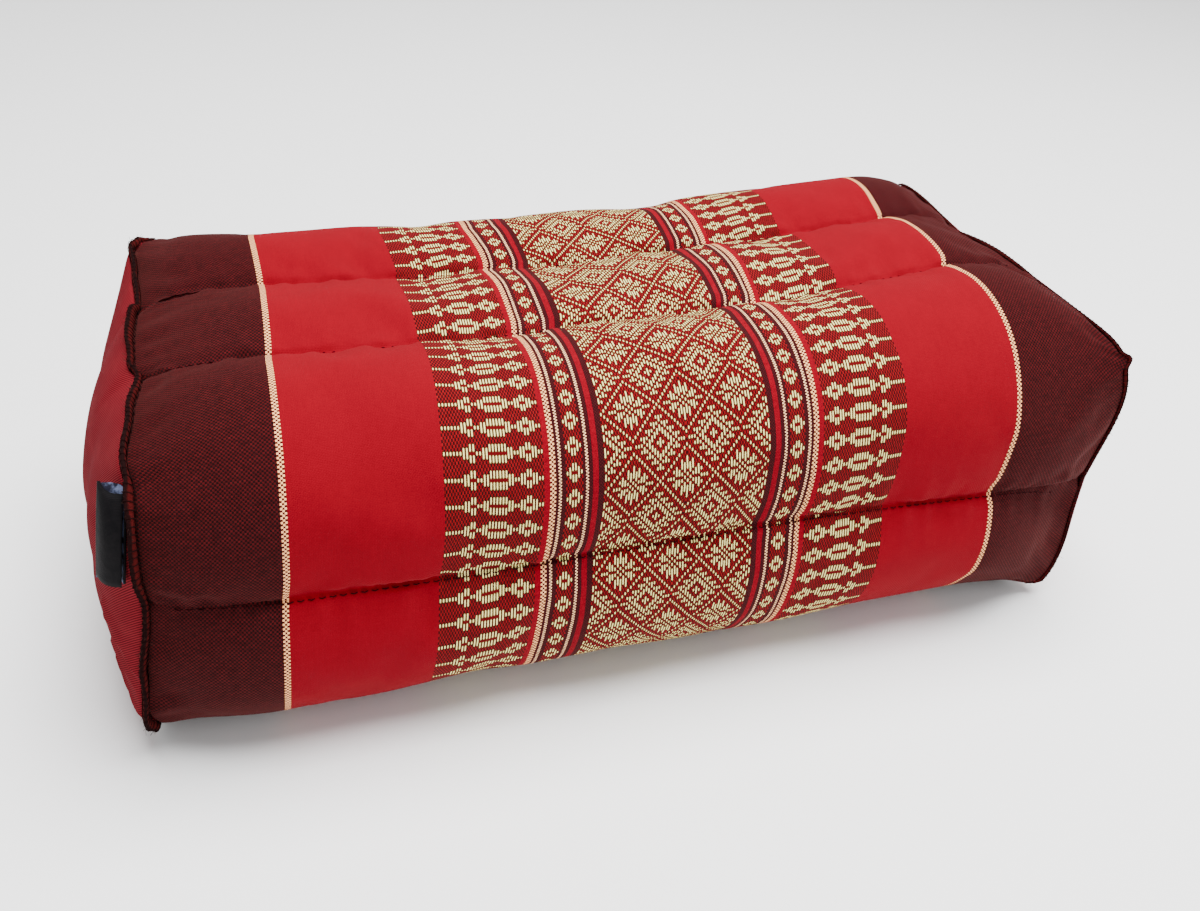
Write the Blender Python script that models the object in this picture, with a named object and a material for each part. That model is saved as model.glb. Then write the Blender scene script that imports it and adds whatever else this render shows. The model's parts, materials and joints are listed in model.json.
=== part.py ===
"""A firm block cushion: a patterned sleeve sewn into tubes, with a stuffed panel sewn into each end.

The sleeve runs along X. Its section has three tubes across and two tubes high, held by sewn channels.
Sizes are in millimetres in the tables below and become metres when the meshes are made.
The cushion stands on z = 0, flat where its lower tubes press on the surface.
"""
from collections import namedtuple
from math import acos, cos, exp, pi, sin, sqrt

import bmesh
import bpy
from mathutils import Vector

MM = 0.001

# Driving sizes, in millimetres
SEAM_TO_SEAM = 312.0
HALF_LENGTH = SEAM_TO_SEAM / 2
MIDDLE_HEIGHT = 59.0
END_BULGE = 18.5
PANEL_THICKNESS = 1.6
PANEL_GAP = 0.6
SEAM_GAP = 0.45
SEAM_HEIGHT = 3.6
SEAM_WIDTH = 2.2
LABEL_THICKNESS = 1.0
LABEL_OUTREACH = 10.0
LABEL_HALF_OPEN = 2.25
LABEL_CLEAR = 2.2
LABEL_INSET = -0.2
LABEL_LEVELS = 7
LABEL_DIRECTION = Vector((-0.75, 0.66))
LABEL_BOTTOM = 74.0
LABEL_TOP = 101.2

# The sewn channels, anticlockwise seen from the right end, starting at the back: depth y and height z at
# mid length and at the left and right end seams, and how much further from the middle height they lie
# where the waist of the weave ends
Channel = namedtuple("Channel", "name y z rise left_y left_z right_y right_z")
CHANNELS = (
    Channel("back", 82.4, 63.8, 0.0, 77.0, 60.0, 75.0, 60.0),
    Channel("top back", 24.4, 112.2, 3.1, 27.0, 107.6, 23.5, 105.4),
    Channel("top front", -24.4, 112.2, 3.1, -18.6, 107.8, -28.0, 107.4),
    Channel("front", -82.4, 63.8, 0.0, -75.0, 62.0, -73.8, 58.6),
    Channel("bottom front", -24.4, 5.8, -3.1, -27.0, 5.2, -27.0, 4.2),
    Channel("bottom back", 24.4, 5.8, -3.1, 27.0, 4.6, 27.0, 4.2),
)
WAIST_END = 0.76

# The tubes between one channel and the next: how far the cloth stands proud of the straight line between
# its channels, and its steps round the section
Tube = namedtuple("Tube", "name crown steps")
TUBES = (
    Tube("back top", 28.9, 14),
    Tube("middle top", 5.6, 8),
    Tube("front top", 28.9, 14),
    Tube("front bottom", 30.0, 14),
    Tube("middle bottom", 5.4, 8),
    Tube("back bottom", 30.0, 14),
)

# How each tube meets an end seam: the corner that its cloth is drawn towards and how sharply, or a crown
EndTube = namedtuple("EndTube", "corner_y corner_z sharpness crown")
LEFT_END = (
    EndTube(83.0, 112.0, 3.4, 0.0),
    EndTube(0.0, 0.0, 0.0, 2.6),
    EndTube(-79.5, 112.5, 1.6, 0.0),
    EndTube(-76.0, 4.4, 2.6, 0.0),
    EndTube(0.0, 0.0, 0.0, 0.6),
    EndTube(80.0, 3.0, 2.6, 0.0),
)
RIGHT_END = (
    EndTube(79.0, 111.0, 4.0, 0.0),
    EndTube(0.0, 0.0, 0.0, 1.6),
    EndTube(-81.5, 107.5, 6.0, 0.0),
    EndTube(-75.5, 2.6, 7.0, 0.0),
    EndTube(0.0, 0.0, 0.0, 0.6),
    EndTube(77.0, 3.0, 3.2, 0.0),
)

# Where the sleeve starts to draw in towards its end seams, as a share of the half length, and how fast
DRAW_IN_START = 0.74
DRAW_IN_POWER = 2.0

# The stuffed cushion isn't quite square: lean along X for each mm of height, growth of height and depth
# from the middle to the right end, and the skew of the plan
LEAN = 0.074
LEAN_LEVEL = 53.4
HEIGHT_GROWTH = 0.031
DEPTH_GROWTH = 0.047
PLAN_SKEW = 0.015
# At the left end the back swells backwards and upwards again
SWELL_DEPTH = 8.0
SWELL_HEIGHT = 5.0
SWELL_FRONT = -90.0
SWELL_BACK = 80.0

# Stations along the half length, and the rings from each end seam to the middle of its panel
STATIONS = (0.0, 0.14, 0.28, 0.42, 0.55, 0.66, 0.75, 0.82, 0.875, 0.92, 0.955, 0.98, 1.0)
PANEL_RINGS = (0.955, 0.88, 0.76, 0.6, 0.4, 0.18)
PANEL_CENTRE_Z = 58.6
PANEL_OVAL_Y = 80.0
PANEL_OVAL_Z = 55.0
# The inner walls of the stuffing pull shallow dents into the end panels: two upright and one level
PANEL_DENT = 1.3
DENT_REACH = 8.0
UPRIGHT_DENTS = (-26.0, 24.0)

# Lumps in the stuffing: height in mm, waves along the length, waves round the section, phase
Lump = namedtuple("Lump", "height along around phase")
LUMPS = (
    Lump(0.45, 2.3, 3, 0.4),
    Lump(0.30, 4.1, 5, 2.1),
    Lump(0.22, 6.7, 8, 4.0),
)

# Waves of the raised edge seam round the end: sideways flop and height in mm, waves, phase
Wave = namedtuple("Wave", "flop rise count phase")
SEAM_WAVES = (
    Wave(0.55, 0.30, 5, 0.3),
    Wave(0.35, 0.22, 11, 1.9),
    Wave(0.20, 0.15, 19, 4.4),
)
SEAM_DENT = 1.3
# The section of the raised seam: shares of its width, its height and its sideways flop
Ridge = namedtuple("Ridge", "width height flop")
RIDGE = (
    Ridge(0.0, 0.0, 0.0),
    Ridge(1.0, 0.0, 0.0),
    Ridge(1.0, 0.62, 1.0),
    Ridge(0.5, 1.0, 1.3),
    Ridge(0.0, 0.72, 0.9),
)
SEAM_FLOP = 0.75
# The box inside the cushion that the raised seam points away from
CORE_HALF_DEPTH = 52.0
CORE_BOTTOM = 38.0
CORE_TOP = 76.0
# The seam's spare cloth at the lower front corner of the left end
EAR_HEIGHT = 2.2
EAR_REACH = 7.5
EAR_Y = -76.0
EAR_Z = 9.0
# Places along the label's loop, as shares of how far it stands out
LABEL_SHARES = (0.0, 0.1, 0.24, 0.42, 0.6, 0.76, 0.88, 0.96)
LABEL_NECK = 0.35

COLOURS = {
    "sleeve cloth": (0.50, 0.012, 0.018, 1.0),
    "end panel twill": (0.28, 0.030, 0.042, 1.0),
    "edge seam": (0.030, 0.014, 0.012, 1.0),
    "loop label": (0.012, 0.012, 0.013, 1.0),
}
ROUGHNESS = {"sleeve cloth": 0.85, "end panel twill": 0.8, "edge seam": 0.9, "loop label": 0.6}


def clear_scene():
    for thing in list(bpy.data.objects):
        bpy.data.objects.remove(thing, do_unlink=True)


def material(name):
    """A plain finish with the piece's own colour and roughness."""
    made = bpy.data.materials.new(name)
    made.use_nodes = True
    shader = made.node_tree.nodes["Principled BSDF"]
    shader.inputs["Base Color"].default_value = COLOURS[name]
    shader.inputs["Roughness"].default_value = ROUGHNESS[name]
    shader.inputs["Metallic"].default_value = 0.0
    return made


def mix(first, second, share):
    return first + (second - first) * share


def arc_points(start, end, crown, steps):
    """Points on the round arc from start to end that stands proud of their chord by crown."""
    chord = end - start
    width = chord.length
    along = chord / width
    out = Vector((along.y, -along.x))
    radius = (width * width / 4 + crown * crown) / (2 * crown)
    half_turn = acos(max(-1.0, min(1.0, (radius - crown) / radius)))
    middle = (start + end) / 2 - out * (radius - crown)
    points = []
    for step in range(steps):
        turn = half_turn * (2 * step / steps - 1)
        points.append(middle + along * (radius * sin(turn)) + out * (radius * cos(turn)))
    return points


def corner_points(start, end, corner, sharpness, steps):
    """Points on the curve from start to end that is drawn towards a corner."""
    points = []
    for step in range(steps):
        share = step / steps
        parts = ((1 - share) ** 2, 2 * share * (1 - share) * sharpness, share ** 2)
        points.append((start * parts[0] + corner * parts[1] + end * parts[2]) / sum(parts))
    return points


def tube_section(waist_share):
    """The round tubes between the channels. waist_share is 0 at mid length and 1 where the waist ends."""
    seams = [Vector((channel.y, channel.z + channel.rise * waist_share ** 2)) for channel in CHANNELS]
    points = []
    for index, tube in enumerate(TUBES):
        points += arc_points(seams[index], seams[(index + 1) % len(seams)], tube.crown, tube.steps)
    return points


def end_section(side):
    """The section at an end seam: a box with drawn corners. side is -1 at the left and 1 at the right."""
    if side < 0:
        seams = [Vector((channel.left_y, channel.left_z)) for channel in CHANNELS]
    else:
        seams = [Vector((channel.right_y, channel.right_z)) for channel in CHANNELS]
    points = []
    for index, end_tube in enumerate(LEFT_END if side < 0 else RIGHT_END):
        first, last, steps = seams[index], seams[(index + 1) % len(seams)], TUBES[index].steps
        if end_tube.crown:
            points += arc_points(first, last, end_tube.crown, steps)
        else:
            corner = Vector((end_tube.corner_y, end_tube.corner_z))
            points += corner_points(first, last, corner, end_tube.sharpness, steps)
    return points


ENDS = {-1: end_section(-1), 1: end_section(1)}
AROUND = len(ENDS[1])


def lump_height(share_along, index):
    """How far the stuffing pushes the cloth out, in mm. It fades out at the end seams."""
    turn = 2 * pi * index / AROUND
    height = sum(
        lump.height * sin(lump.along * pi * share_along + lump.phase) * cos(lump.around * turn + lump.phase)
        for lump in LUMPS
    )
    return height * (1 - share_along ** 6)


def channel_fade(index):
    """0 on a sewn channel and 1 between the channels."""
    start = 0
    for tube in TUBES:
        if index < start + tube.steps:
            return sin(pi * (index - start) / tube.steps)
        start += tube.steps
    return 0.0


def section(share_along):
    """The sleeve's outline at a station, from -1 at the left end seam to 1 at the right one."""
    side = -1 if share_along < 0 else 1
    reach = max(0.0, (abs(share_along) - DRAW_IN_START) / (1 - DRAW_IN_START))
    drawn = reach ** DRAW_IN_POWER
    full = tube_section(min(1.0, abs(share_along) / WAIST_END))
    outline = []
    for index, point in enumerate(full):
        push = (point - Vector((0.0, MIDDLE_HEIGHT))).normalized() * lump_height(share_along, index)
        outline.append(mix(point + push * channel_fade(index), ENDS[side][index], drawn))
    return outline


def settle(x, y, z):
    """Where a point of the square cushion lies once the stuffing has pushed it about, in metres."""
    share = x / HALF_LENGTH
    swell = min(share, 0.0) ** 2 * ((y - SWELL_FRONT) / (SWELL_BACK - SWELL_FRONT)) ** 2
    moved_x = x + LEAN * (z - LEAN_LEVEL)
    moved_y = y * (1 + DEPTH_GROWTH * share) + PLAN_SKEW * x + SWELL_DEPTH * swell
    moved_z = max(0.0, z) * (1 + HEIGHT_GROWTH * share + SWELL_HEIGHT * swell / (2 * MIDDLE_HEIGHT))
    return Vector((moved_x, moved_y, moved_z)) * MM


def bell(distance, reach):
    """1 at no distance, falling smoothly to nothing beyond reach."""
    return exp(-((distance / reach) ** 2))


def bulge(ring, y, z):
    """How far an end panel stands out, in mm. ring is 1 at its seam and 0 at its middle."""
    dome = END_BULGE * (1 - ring ** 2.2) ** 0.85
    walls = bell(z - PANEL_CENTRE_Z, DENT_REACH) + sum(bell(y - wall, DENT_REACH) for wall in UPRIGHT_DENTS)
    return dome - PANEL_DENT * walls * (1 - ring ** 2)


def end_ring(side, ring):
    """An outline inside the end seam. It turns from the seam's own shape to an oval at the middle."""
    outline = []
    for point in ENDS[side]:
        spoke = Vector((point.x, point.y - PANEL_CENTRE_Z))
        oval = spoke / sqrt((spoke.x / PANEL_OVAL_Y) ** 2 + (spoke.y / PANEL_OVAL_Z) ** 2)
        spot = mix(oval, spoke, ring ** 3) * ring
        outline.append(Vector((spot.x, spot.y + PANEL_CENTRE_Z)))
    return outline


def make_object(name, bm, finish):
    bm.normal_update()
    mesh = bpy.data.meshes.new(name)
    bm.to_mesh(mesh)
    bm.free()
    mesh.shade_smooth()
    mesh.set_sharp_from_angle(angle=0.7)
    mesh.materials.append(finish)
    made = bpy.data.objects.new(name, mesh)
    bpy.context.scene.collection.objects.link(made)
    return made


def add_ring(bm, x_of, outline):
    """A closed ring of vertices on an outline. x_of gives each point's place along X."""
    return [bm.verts.new(settle(x_of(point), point.x, point.y)) for point in outline]


def join_rings(bm, rings):
    """Quads between each ring and the next."""
    for first, second in zip(rings, rings[1:]):
        count = len(first)
        for index in range(count):
            following = (index + 1) % count
            bm.faces.new((first[index], first[following], second[following], second[index]))


def cap_with_point(bm, ring, centre):
    count = len(ring)
    for index in range(count):
        bm.faces.new((ring[index], ring[(index + 1) % count], centre))


def panel_rings(bm, side, lift):
    """The rings and the middle point of an end surface, lift mm outside the stuffing."""
    rings = []
    for ring in PANEL_RINGS:
        outline = end_ring(side, ring)
        rings.append(
            add_ring(
                bm,
                lambda point, ring=ring: side * (HALF_LENGTH + lift + bulge(ring, point.x, point.y)),
                outline,
            )
        )
    tip = side * (HALF_LENGTH + lift + bulge(0.0, 0.0, PANEL_CENTRE_Z))
    return rings, bm.verts.new(settle(tip, 0.0, PANEL_CENTRE_Z))


def face_outwards(bm):
    bmesh.ops.recalc_face_normals(bm, faces=bm.faces)
    if bm.calc_volume(signed=True) < 0:
        bmesh.ops.reverse_faces(bm, faces=bm.faces)


def make_body():
    """The stuffed sleeve, closed at both ends by the stuffing's own domes."""
    bm = bmesh.new()
    shares = [-share for share in reversed(STATIONS[1:])] + list(STATIONS)
    sleeve = [add_ring(bm, lambda point, x=share * HALF_LENGTH: x, section(share)) for share in shares]
    left, left_tip = panel_rings(bm, -1, 0.0)
    right, right_tip = panel_rings(bm, 1, 0.0)
    join_rings(bm, list(reversed(left)) + sleeve + right)
    cap_with_point(bm, left[-1], left_tip)
    cap_with_point(bm, right[-1], right_tip)
    face_outwards(bm)
    return make_object("cushion_body", bm, material("sleeve cloth"))


def make_panel(side, name, finish):
    """An end panel: one thickness of cloth over the stuffing's dome."""
    bm = bmesh.new()
    skins = []
    for lift in (PANEL_GAP, PANEL_GAP + PANEL_THICKNESS):
        rim = add_ring(bm, lambda point, lift=lift: side * (HALF_LENGTH + lift), ENDS[side])
        rings, tip = panel_rings(bm, side, lift)
        join_rings(bm, [rim] + rings)
        cap_with_point(bm, rings[-1], tip)
        skins.append(rim)
    join_rings(bm, skins)
    face_outwards(bm)
    return make_object(name, bm, finish)


def outward(point):
    """The direction away from the cushion's core, in the plane of the end seam."""
    core_y = max(-CORE_HALF_DEPTH, min(CORE_HALF_DEPTH, point.x))
    core_z = max(CORE_BOTTOM, min(CORE_TOP, point.y))
    return (point - Vector((core_y, core_z))).normalized()


def ear(point):
    """1 at the lower front corner, where the seam's spare cloth sticks out, and 0 away from it."""
    return bell(point.x - EAR_Y, EAR_REACH) * bell(point.y - EAR_Z, EAR_REACH)


def make_edge_seam(side, name, finish):
    """The overlocked seam that stands up round an end, wavy and flopping outwards."""
    bm = bmesh.new()
    rings = []
    for index, point in enumerate(ENDS[side]):
        turn = 2 * pi * index / AROUND
        flop = SEAM_FLOP + sum(wave.flop * sin(wave.count * turn + wave.phase * side) for wave in SEAM_WAVES)
        rise = sum(wave.rise * cos(wave.count * turn + wave.phase * side) for wave in SEAM_WAVES)
        dent = SEAM_DENT * (1 - channel_fade(index)) ** 4
        height = SEAM_HEIGHT + rise - dent + (EAR_HEIGHT * ear(point) if side < 0 else 0.0)
        direction = outward(point)
        ring = []
        for corner in RIDGE:
            spot = point + direction * (SEAM_GAP + height * corner.height)
            out = SEAM_GAP + SEAM_WIDTH * corner.width + max(0.0, flop) * corner.flop
            x = side * (HALF_LENGTH + out)
            ring.append(bm.verts.new(settle(x, spot.x, max(SEAM_GAP, spot.y))))
        rings.append(ring)
    join_rings(bm, rings + [rings[0]])
    face_outwards(bm)
    return make_object(name, bm, finish)


def label_loop(inset):
    """The folded ribbon's loop seen along its edge: a drop shape, inset by mm from its outer face.

    Each point is how far out from the seam it lies, and how far to the front of the loop's middle line.
    """
    reach = LABEL_OUTREACH - inset
    half = LABEL_HALF_OPEN - inset
    start = inset * 1.3
    points = []
    for share in LABEL_SHARES:
        swell = half * (LABEL_NECK + (1 - LABEL_NECK) * sin(pi * share ** 0.8)) * (1 - share ** 6)
        points.append((start + (reach - start) * share, swell))
    return points + [(reach, 0.0)] + [(out, -front) for out, front in reversed(points)]


def make_label():
    """The folded loop label that stands out from the left end seam, open at its top and bottom."""
    bm = bmesh.new()
    along = LABEL_DIRECTION
    rings = {0.0: [], LABEL_THICKNESS: []}
    root_x = -HALF_LENGTH - PANEL_GAP - PANEL_THICKNESS - LABEL_CLEAR
    for level in range(LABEL_LEVELS):
        height = mix(LABEL_BOTTOM, LABEL_TOP, level / (LABEL_LEVELS - 1))
        root = Vector((root_x, left_front_y(height) + LABEL_INSET))
        for inset in rings:
            ring = []
            for out, front in label_loop(inset):
                spot = root + along * out + Vector((along.y, -along.x)) * -front
                ring.append(bm.verts.new(settle(spot.x, spot.y, height)))
            rings[inset].append(ring)
    outer, inner = rings[0.0], rings[LABEL_THICKNESS]
    join_rings(bm, outer)
    join_rings(bm, inner)
    join_rings(bm, [outer[0], inner[0]])
    join_rings(bm, [outer[-1], inner[-1]])
    face_outwards(bm)
    return make_object("side_label", bm, material("loop label"))


def left_front_y(height):
    """How far forward the left end seam lies at a height on its front edge."""
    front = [point for point in ENDS[-1] if point.x < -40.0]
    below = max((point for point in front if point.y <= height), key=lambda point: point.y)
    above = min((point for point in front if point.y > height), key=lambda point: point.y)
    return mix(below.x, above.x, (height - below.y) / (above.y - below.y))


def stand_on_origin(objects):
    """Centres the cushion on the origin, with its resting face at z = 0."""
    corners = [made.matrix_world @ vertex.co for made in objects for vertex in made.data.vertices]
    middle_x = (min(c.x for c in corners) + max(c.x for c in corners)) / 2
    middle_y = (min(c.y for c in corners) + max(c.y for c in corners)) / 2
    low = min(c.z for c in corners)
    for made in objects:
        made.location = Vector((-middle_x, -middle_y, -low))


def main():
    clear_scene()
    twill = material("end panel twill")
    overlock = material("edge seam")
    stand_on_origin(
        [
            make_body(),
            make_panel(-1, "end_panel_left", twill),
            make_panel(1, "end_panel_right", twill),
            make_edge_seam(-1, "edge_seam_left", overlock),
            make_edge_seam(1, "edge_seam_right", overlock),
            make_label(),
        ]
    )


main()
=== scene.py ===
"""The looks of a firm block cushion: patterned sleeve, end cloths, overlocked edges, label and stitches.

Lengths are in millimetres in the tables below and become metres when a mesh is made.
X runs along the cushion, Y towards its back and Z up, as in the solids that this dresses.
"""
import json
import random
from collections import namedtuple
from math import acos, ceil, cos, exp, pi, radians, sin, sqrt

import bmesh
import bpy
import numpy as np
from bpy.props import FloatProperty, FloatVectorProperty, IntProperty, PointerProperty
from mathutils import Euler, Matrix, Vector

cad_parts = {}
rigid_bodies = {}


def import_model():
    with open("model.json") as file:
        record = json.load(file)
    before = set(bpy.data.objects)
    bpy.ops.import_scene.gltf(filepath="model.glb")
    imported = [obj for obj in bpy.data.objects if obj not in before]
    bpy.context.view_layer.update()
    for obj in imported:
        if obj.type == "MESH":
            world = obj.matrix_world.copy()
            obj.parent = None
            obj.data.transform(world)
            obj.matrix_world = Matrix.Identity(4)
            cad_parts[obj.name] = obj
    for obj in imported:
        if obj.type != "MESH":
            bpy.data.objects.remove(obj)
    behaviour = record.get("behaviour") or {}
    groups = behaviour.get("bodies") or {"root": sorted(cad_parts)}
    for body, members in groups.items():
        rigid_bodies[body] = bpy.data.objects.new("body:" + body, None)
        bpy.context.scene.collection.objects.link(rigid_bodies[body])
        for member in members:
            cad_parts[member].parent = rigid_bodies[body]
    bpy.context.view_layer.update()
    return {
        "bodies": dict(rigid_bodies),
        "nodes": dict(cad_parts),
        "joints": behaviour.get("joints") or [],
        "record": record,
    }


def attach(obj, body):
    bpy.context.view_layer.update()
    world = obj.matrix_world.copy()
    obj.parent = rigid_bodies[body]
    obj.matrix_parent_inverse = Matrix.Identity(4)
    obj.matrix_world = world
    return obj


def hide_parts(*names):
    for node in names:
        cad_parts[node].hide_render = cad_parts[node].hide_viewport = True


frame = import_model()

bl_info = {
    "name": "Firm block cushion",
    "version": (1, 0, 0),
    "blender": (4, 5, 0),
    "location": "3D View > Sidebar > Cushion",
    "description": "Patterned sleeve, end cloths, overlocked edges, loop label and stitches",
    "category": "Object",
}

MM = 0.001
# How near two points are that become one, in metres, and the least angle of a sharp edge
WELD = 0.00001
SHARP_ANGLE = 1.0

# The form that the solids have
SEAM_TO_SEAM = 312.0
HALF_LENGTH = SEAM_TO_SEAM / 2
MIDDLE_HEIGHT = 59.0
END_BULGE = 18.5
PANEL_GAP = 0.6
PANEL_THICKNESS = 1.6
STAND_SHIFT = Vector((-0.384, -1.642, 0.0))

Channel = namedtuple("Channel", "name y z rise left_y left_z right_y right_z")
CHANNELS = (
    Channel("back", 82.4, 63.8, 0.0, 77.0, 60.0, 75.0, 60.0),
    Channel("top back", 24.4, 112.2, 3.1, 27.0, 107.6, 23.5, 105.4),
    Channel("top front", -24.4, 112.2, 3.1, -18.6, 107.8, -28.0, 107.4),
    Channel("front", -82.4, 63.8, 0.0, -75.0, 62.0, -73.8, 58.6),
    Channel("bottom front", -24.4, 5.8, -3.1, -27.0, 5.2, -27.0, 4.2),
    Channel("bottom back", 24.4, 5.8, -3.1, 27.0, 4.6, 27.0, 4.2),
)
WAIST_END = 0.76
# Where the sewing wandered off the solids' channels: places along X with the shift in Y and in Z
CHANNEL_WANDERS = {
    "top front": (
        (-156.0, 0.0, 1.0), (-100.0, 0.0, 0.0), (60.0, 0.0, 0.5), (90.0, 0.8, 1.5), (117.0, 1.0, 2.0),
        (156.0, 0.5, 1.5),
    ),
    "front": (
        (-156.0, 0.0, 4.7), (-117.0, 0.0, 1.6), (-60.0, 0.0, 0.0), (50.0, 0.0, 0.0), (80.0, 0.0, -1.3),
        (117.0, 0.0, -3.4), (156.0, 0.0, -5.4),
    ),
}

# The tubes between the channels: crown, the solids' steps round it and the fine cloth's steps round it.
# Then the woven rows: the lattice row at the tube's first channel, how many lattice rows and motif rows it
# takes, how much closer they lie at its first channel, and how the lattice rows slant in rows a millimetre
Tube = namedtuple("Tube", "name crown steps fine first_row rows motif_rows crowd slant")
TUBES = (
    Tube("back top", 28.9, 14, 44, 5.1, 102.0, 88.2, -0.25, 0.023),
    Tube("middle top", 5.6, 8, 28, 13.9, 50.8, 42.4, 0.0, 0.0),
    Tube("front top", 28.9, 14, 44, 14.9, 105.6, 93.1, 0.135, 0.028),
    Tube("front bottom", 30.0, 14, 44, 16.6, 98.0, 83.3, 0.1, 0.0),
    Tube("middle bottom", 5.4, 8, 24, 11.0, 50.6, 42.4, 0.0, 0.0),
    Tube("back bottom", 30.0, 14, 44, 13.0, 98.0, 83.3, -0.1, 0.0),
)
AROUND = sum(tube.steps for tube in TUBES)
# The motif row at each tube's first channel, at the places along X that lead the table
MOTIF_PLACES = (-74.0, -46.0, -33.0, 39.0, 46.0, 74.0)
MOTIF_ROWS = {
    "back top": (-62.3, -60.6, -59.5, -56.3, -56.3, -55.7),
    "middle top": (-17.8, -16.6, -16.0, -13.4, -12.5, -11.5),
    "front top": (-13.9, -16.5, -16.3, -12.8, -12.5, -12.0),
    "front bottom": (0.7, 0.95, 0.9, 1.7, 1.7, 3.3),
    "middle bottom": (2.0, 2.4, 2.6, 3.4, 3.6, 4.4),
    "back bottom": (1.0, 1.6, 1.8, 2.8, 3.0, 3.8),
}

# Each tube at the end seams, left and right: the corner that it is drawn to and how sharply, or its crown
EndTube = namedtuple("EndTube", "corner_y corner_z sharpness crown")
END_TUBES = {
    -1: (
        EndTube(83.0, 114.4, 4.0, 0.0),
        EndTube(0.0, 0.0, 0.0, 2.6),
        EndTube(-79.5, 112.5, 1.6, 0.0),
        EndTube(-76.0, 4.4, 2.6, 0.0),
        EndTube(0.0, 0.0, 0.0, 0.6),
        EndTube(80.0, 3.0, 2.6, 0.0),
    ),
    1: (
        EndTube(79.0, 111.0, 4.0, 0.0),
        EndTube(0.0, 0.0, 0.0, 1.6),
        EndTube(-81.5, 107.5, 6.0, 0.0),
        EndTube(-75.5, 2.6, 7.0, 0.0),
        EndTube(0.0, 0.0, 0.0, 0.6),
        EndTube(77.0, 3.0, 3.2, 0.0),
    ),
}
DRAW_IN_START = 0.74
DRAW_IN_POWER = 2.0
# The back top tube keeps its height nearly to its left end
BACK_DRAW_IN = 1.8
# Beside the top channels the cloth draws in later
LATE_DRAW_IN = 2.6
TOP_TUBES = 3
# How far out along X each end seam lies of the solids' seam, and its edge's height as a share of the usual,
# for the left end and the right one. A place is a tube's number plus the share of the way round it
SeamStop = namedtuple("SeamStop", "place out rise")
SEAM_STOPS = {
    -1: [SeamStop(*stop) for stop in (
        (0.0, -0.8, 1.0), (0.3, -2.4, 0.25), (0.5, -3.0, 0.06), (0.64, -3.0, 0.06), (0.74, 1.2, 0.6),
        (0.84, 3.2, 1.0), (0.94, 1.8, 1.0), (1.0, 0.4, 0.8), (1.12, 1.0, 1.0), (1.5, 1.2, 1.0),
        (1.88, 0.8, 0.9), (2.0, -1.6, 0.8), (2.12, 0.2, 1.0), (2.35, 1.6, 1.0), (2.55, -0.6, 1.0),
        (2.75, -0.4, 1.0), (2.92, -0.6, 1.0), (3.0, -1.6, 0.8), (3.12, 0.8, 1.0), (3.3, 2.0, 1.0),
        (3.5, -0.5, 0.6), (3.7, 0.0, 0.7), (6.0, -0.8, 1.0),
    )],
    1: [SeamStop(*stop) for stop in (
        (0.0, -0.8, 0.4), (0.5, 0.0, 0.22), (1.0, -0.6, 0.3), (1.5, 0.4, 0.3), (2.0, -0.4, 0.3),
        (2.38, 0.6, 0.3), (2.5, 3.6, 0.3), (2.64, 2.0, 0.3), (2.94, 6.4, 0.35), (3.0, 6.0, 0.3),
        (3.07, 7.2, 0.35), (3.3, 4.4, 0.35), (3.5, 0.4, 0.05), (4.0, -0.4, 0.2), (6.0, -0.8, 0.4),
    )],
}
# How quickly that shift fades along the sleeve, in mm, and towards an end's middle, as a power
SWELL_FADE = 11.0
SHIFT_FADE = 8

# How the stuffing pushed the square cushion about: a lean, more height and depth towards the right end, a
# skew in plan and a swollen back left corner
LEAN = 0.074
LEAN_LEVEL = 53.4
HEIGHT_GROWTH = 0.031
DEPTH_GROWTH = 0.047
PLAN_SKEW = 0.015
SWELL_DEPTH = 8.0
SWELL_HEIGHT = 5.0
SWELL_FRONT = -90.0
SWELL_BACK = 80.0

PANEL_CENTRE_Z = 58.6
PANEL_OVAL_Y = 80.0
PANEL_OVAL_Z = 55.0
PANEL_DENT = 1.3
DENT_REACH = 8.0
UPRIGHT_DENTS = (-26.0, 24.0)

Lump = namedtuple("Lump", "height along around phase")
LUMPS = (
    Lump(0.45, 2.3, 3, 0.4),
    Lump(0.30, 4.1, 5, 2.1),
    Lump(0.22, 6.7, 8, 4.0),
)

Wave = namedtuple("Wave", "flop rise count phase")
SEAM_WAVES = (
    Wave(0.55, 0.30, 5, 0.3),
    Wave(0.35, 0.22, 11, 1.9),
    Wave(0.20, 0.15, 19, 4.4),
)
SEAM_GAP = 0.45
SEAM_HEIGHT = 3.6
SEAM_FLOP = 0.75
SEAM_DENT = 1.3
CORE_HALF_DEPTH = 52.0
CORE_BOTTOM = 38.0
CORE_TOP = 76.0

LABEL_THICKNESS = 0.7
LABEL_OUTREACH = 10.0
LABEL_HALF_OPEN = 2.25
LABEL_CLEAR = 2.2
LABEL_INSET = -0.2
LABEL_DIRECTION = Vector((-0.75, 0.66))
# The seam's front edge is nearer to the front than this
LABEL_SIDE = -40.0
LABEL_BOTTOM = 74.0
LABEL_TOP = 101.2
LABEL_NECK = 0.35
# Where the ribbon lies of the solid label, and how its front layer's ends slant
LABEL_NUDGE = Vector((1.0, 0.6, 1.0))
LABEL_LEAN = 0.09
LABEL_SLOPE = 0.1
LABEL_STEPS = 22
LABEL_LEVELS = 16

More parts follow.
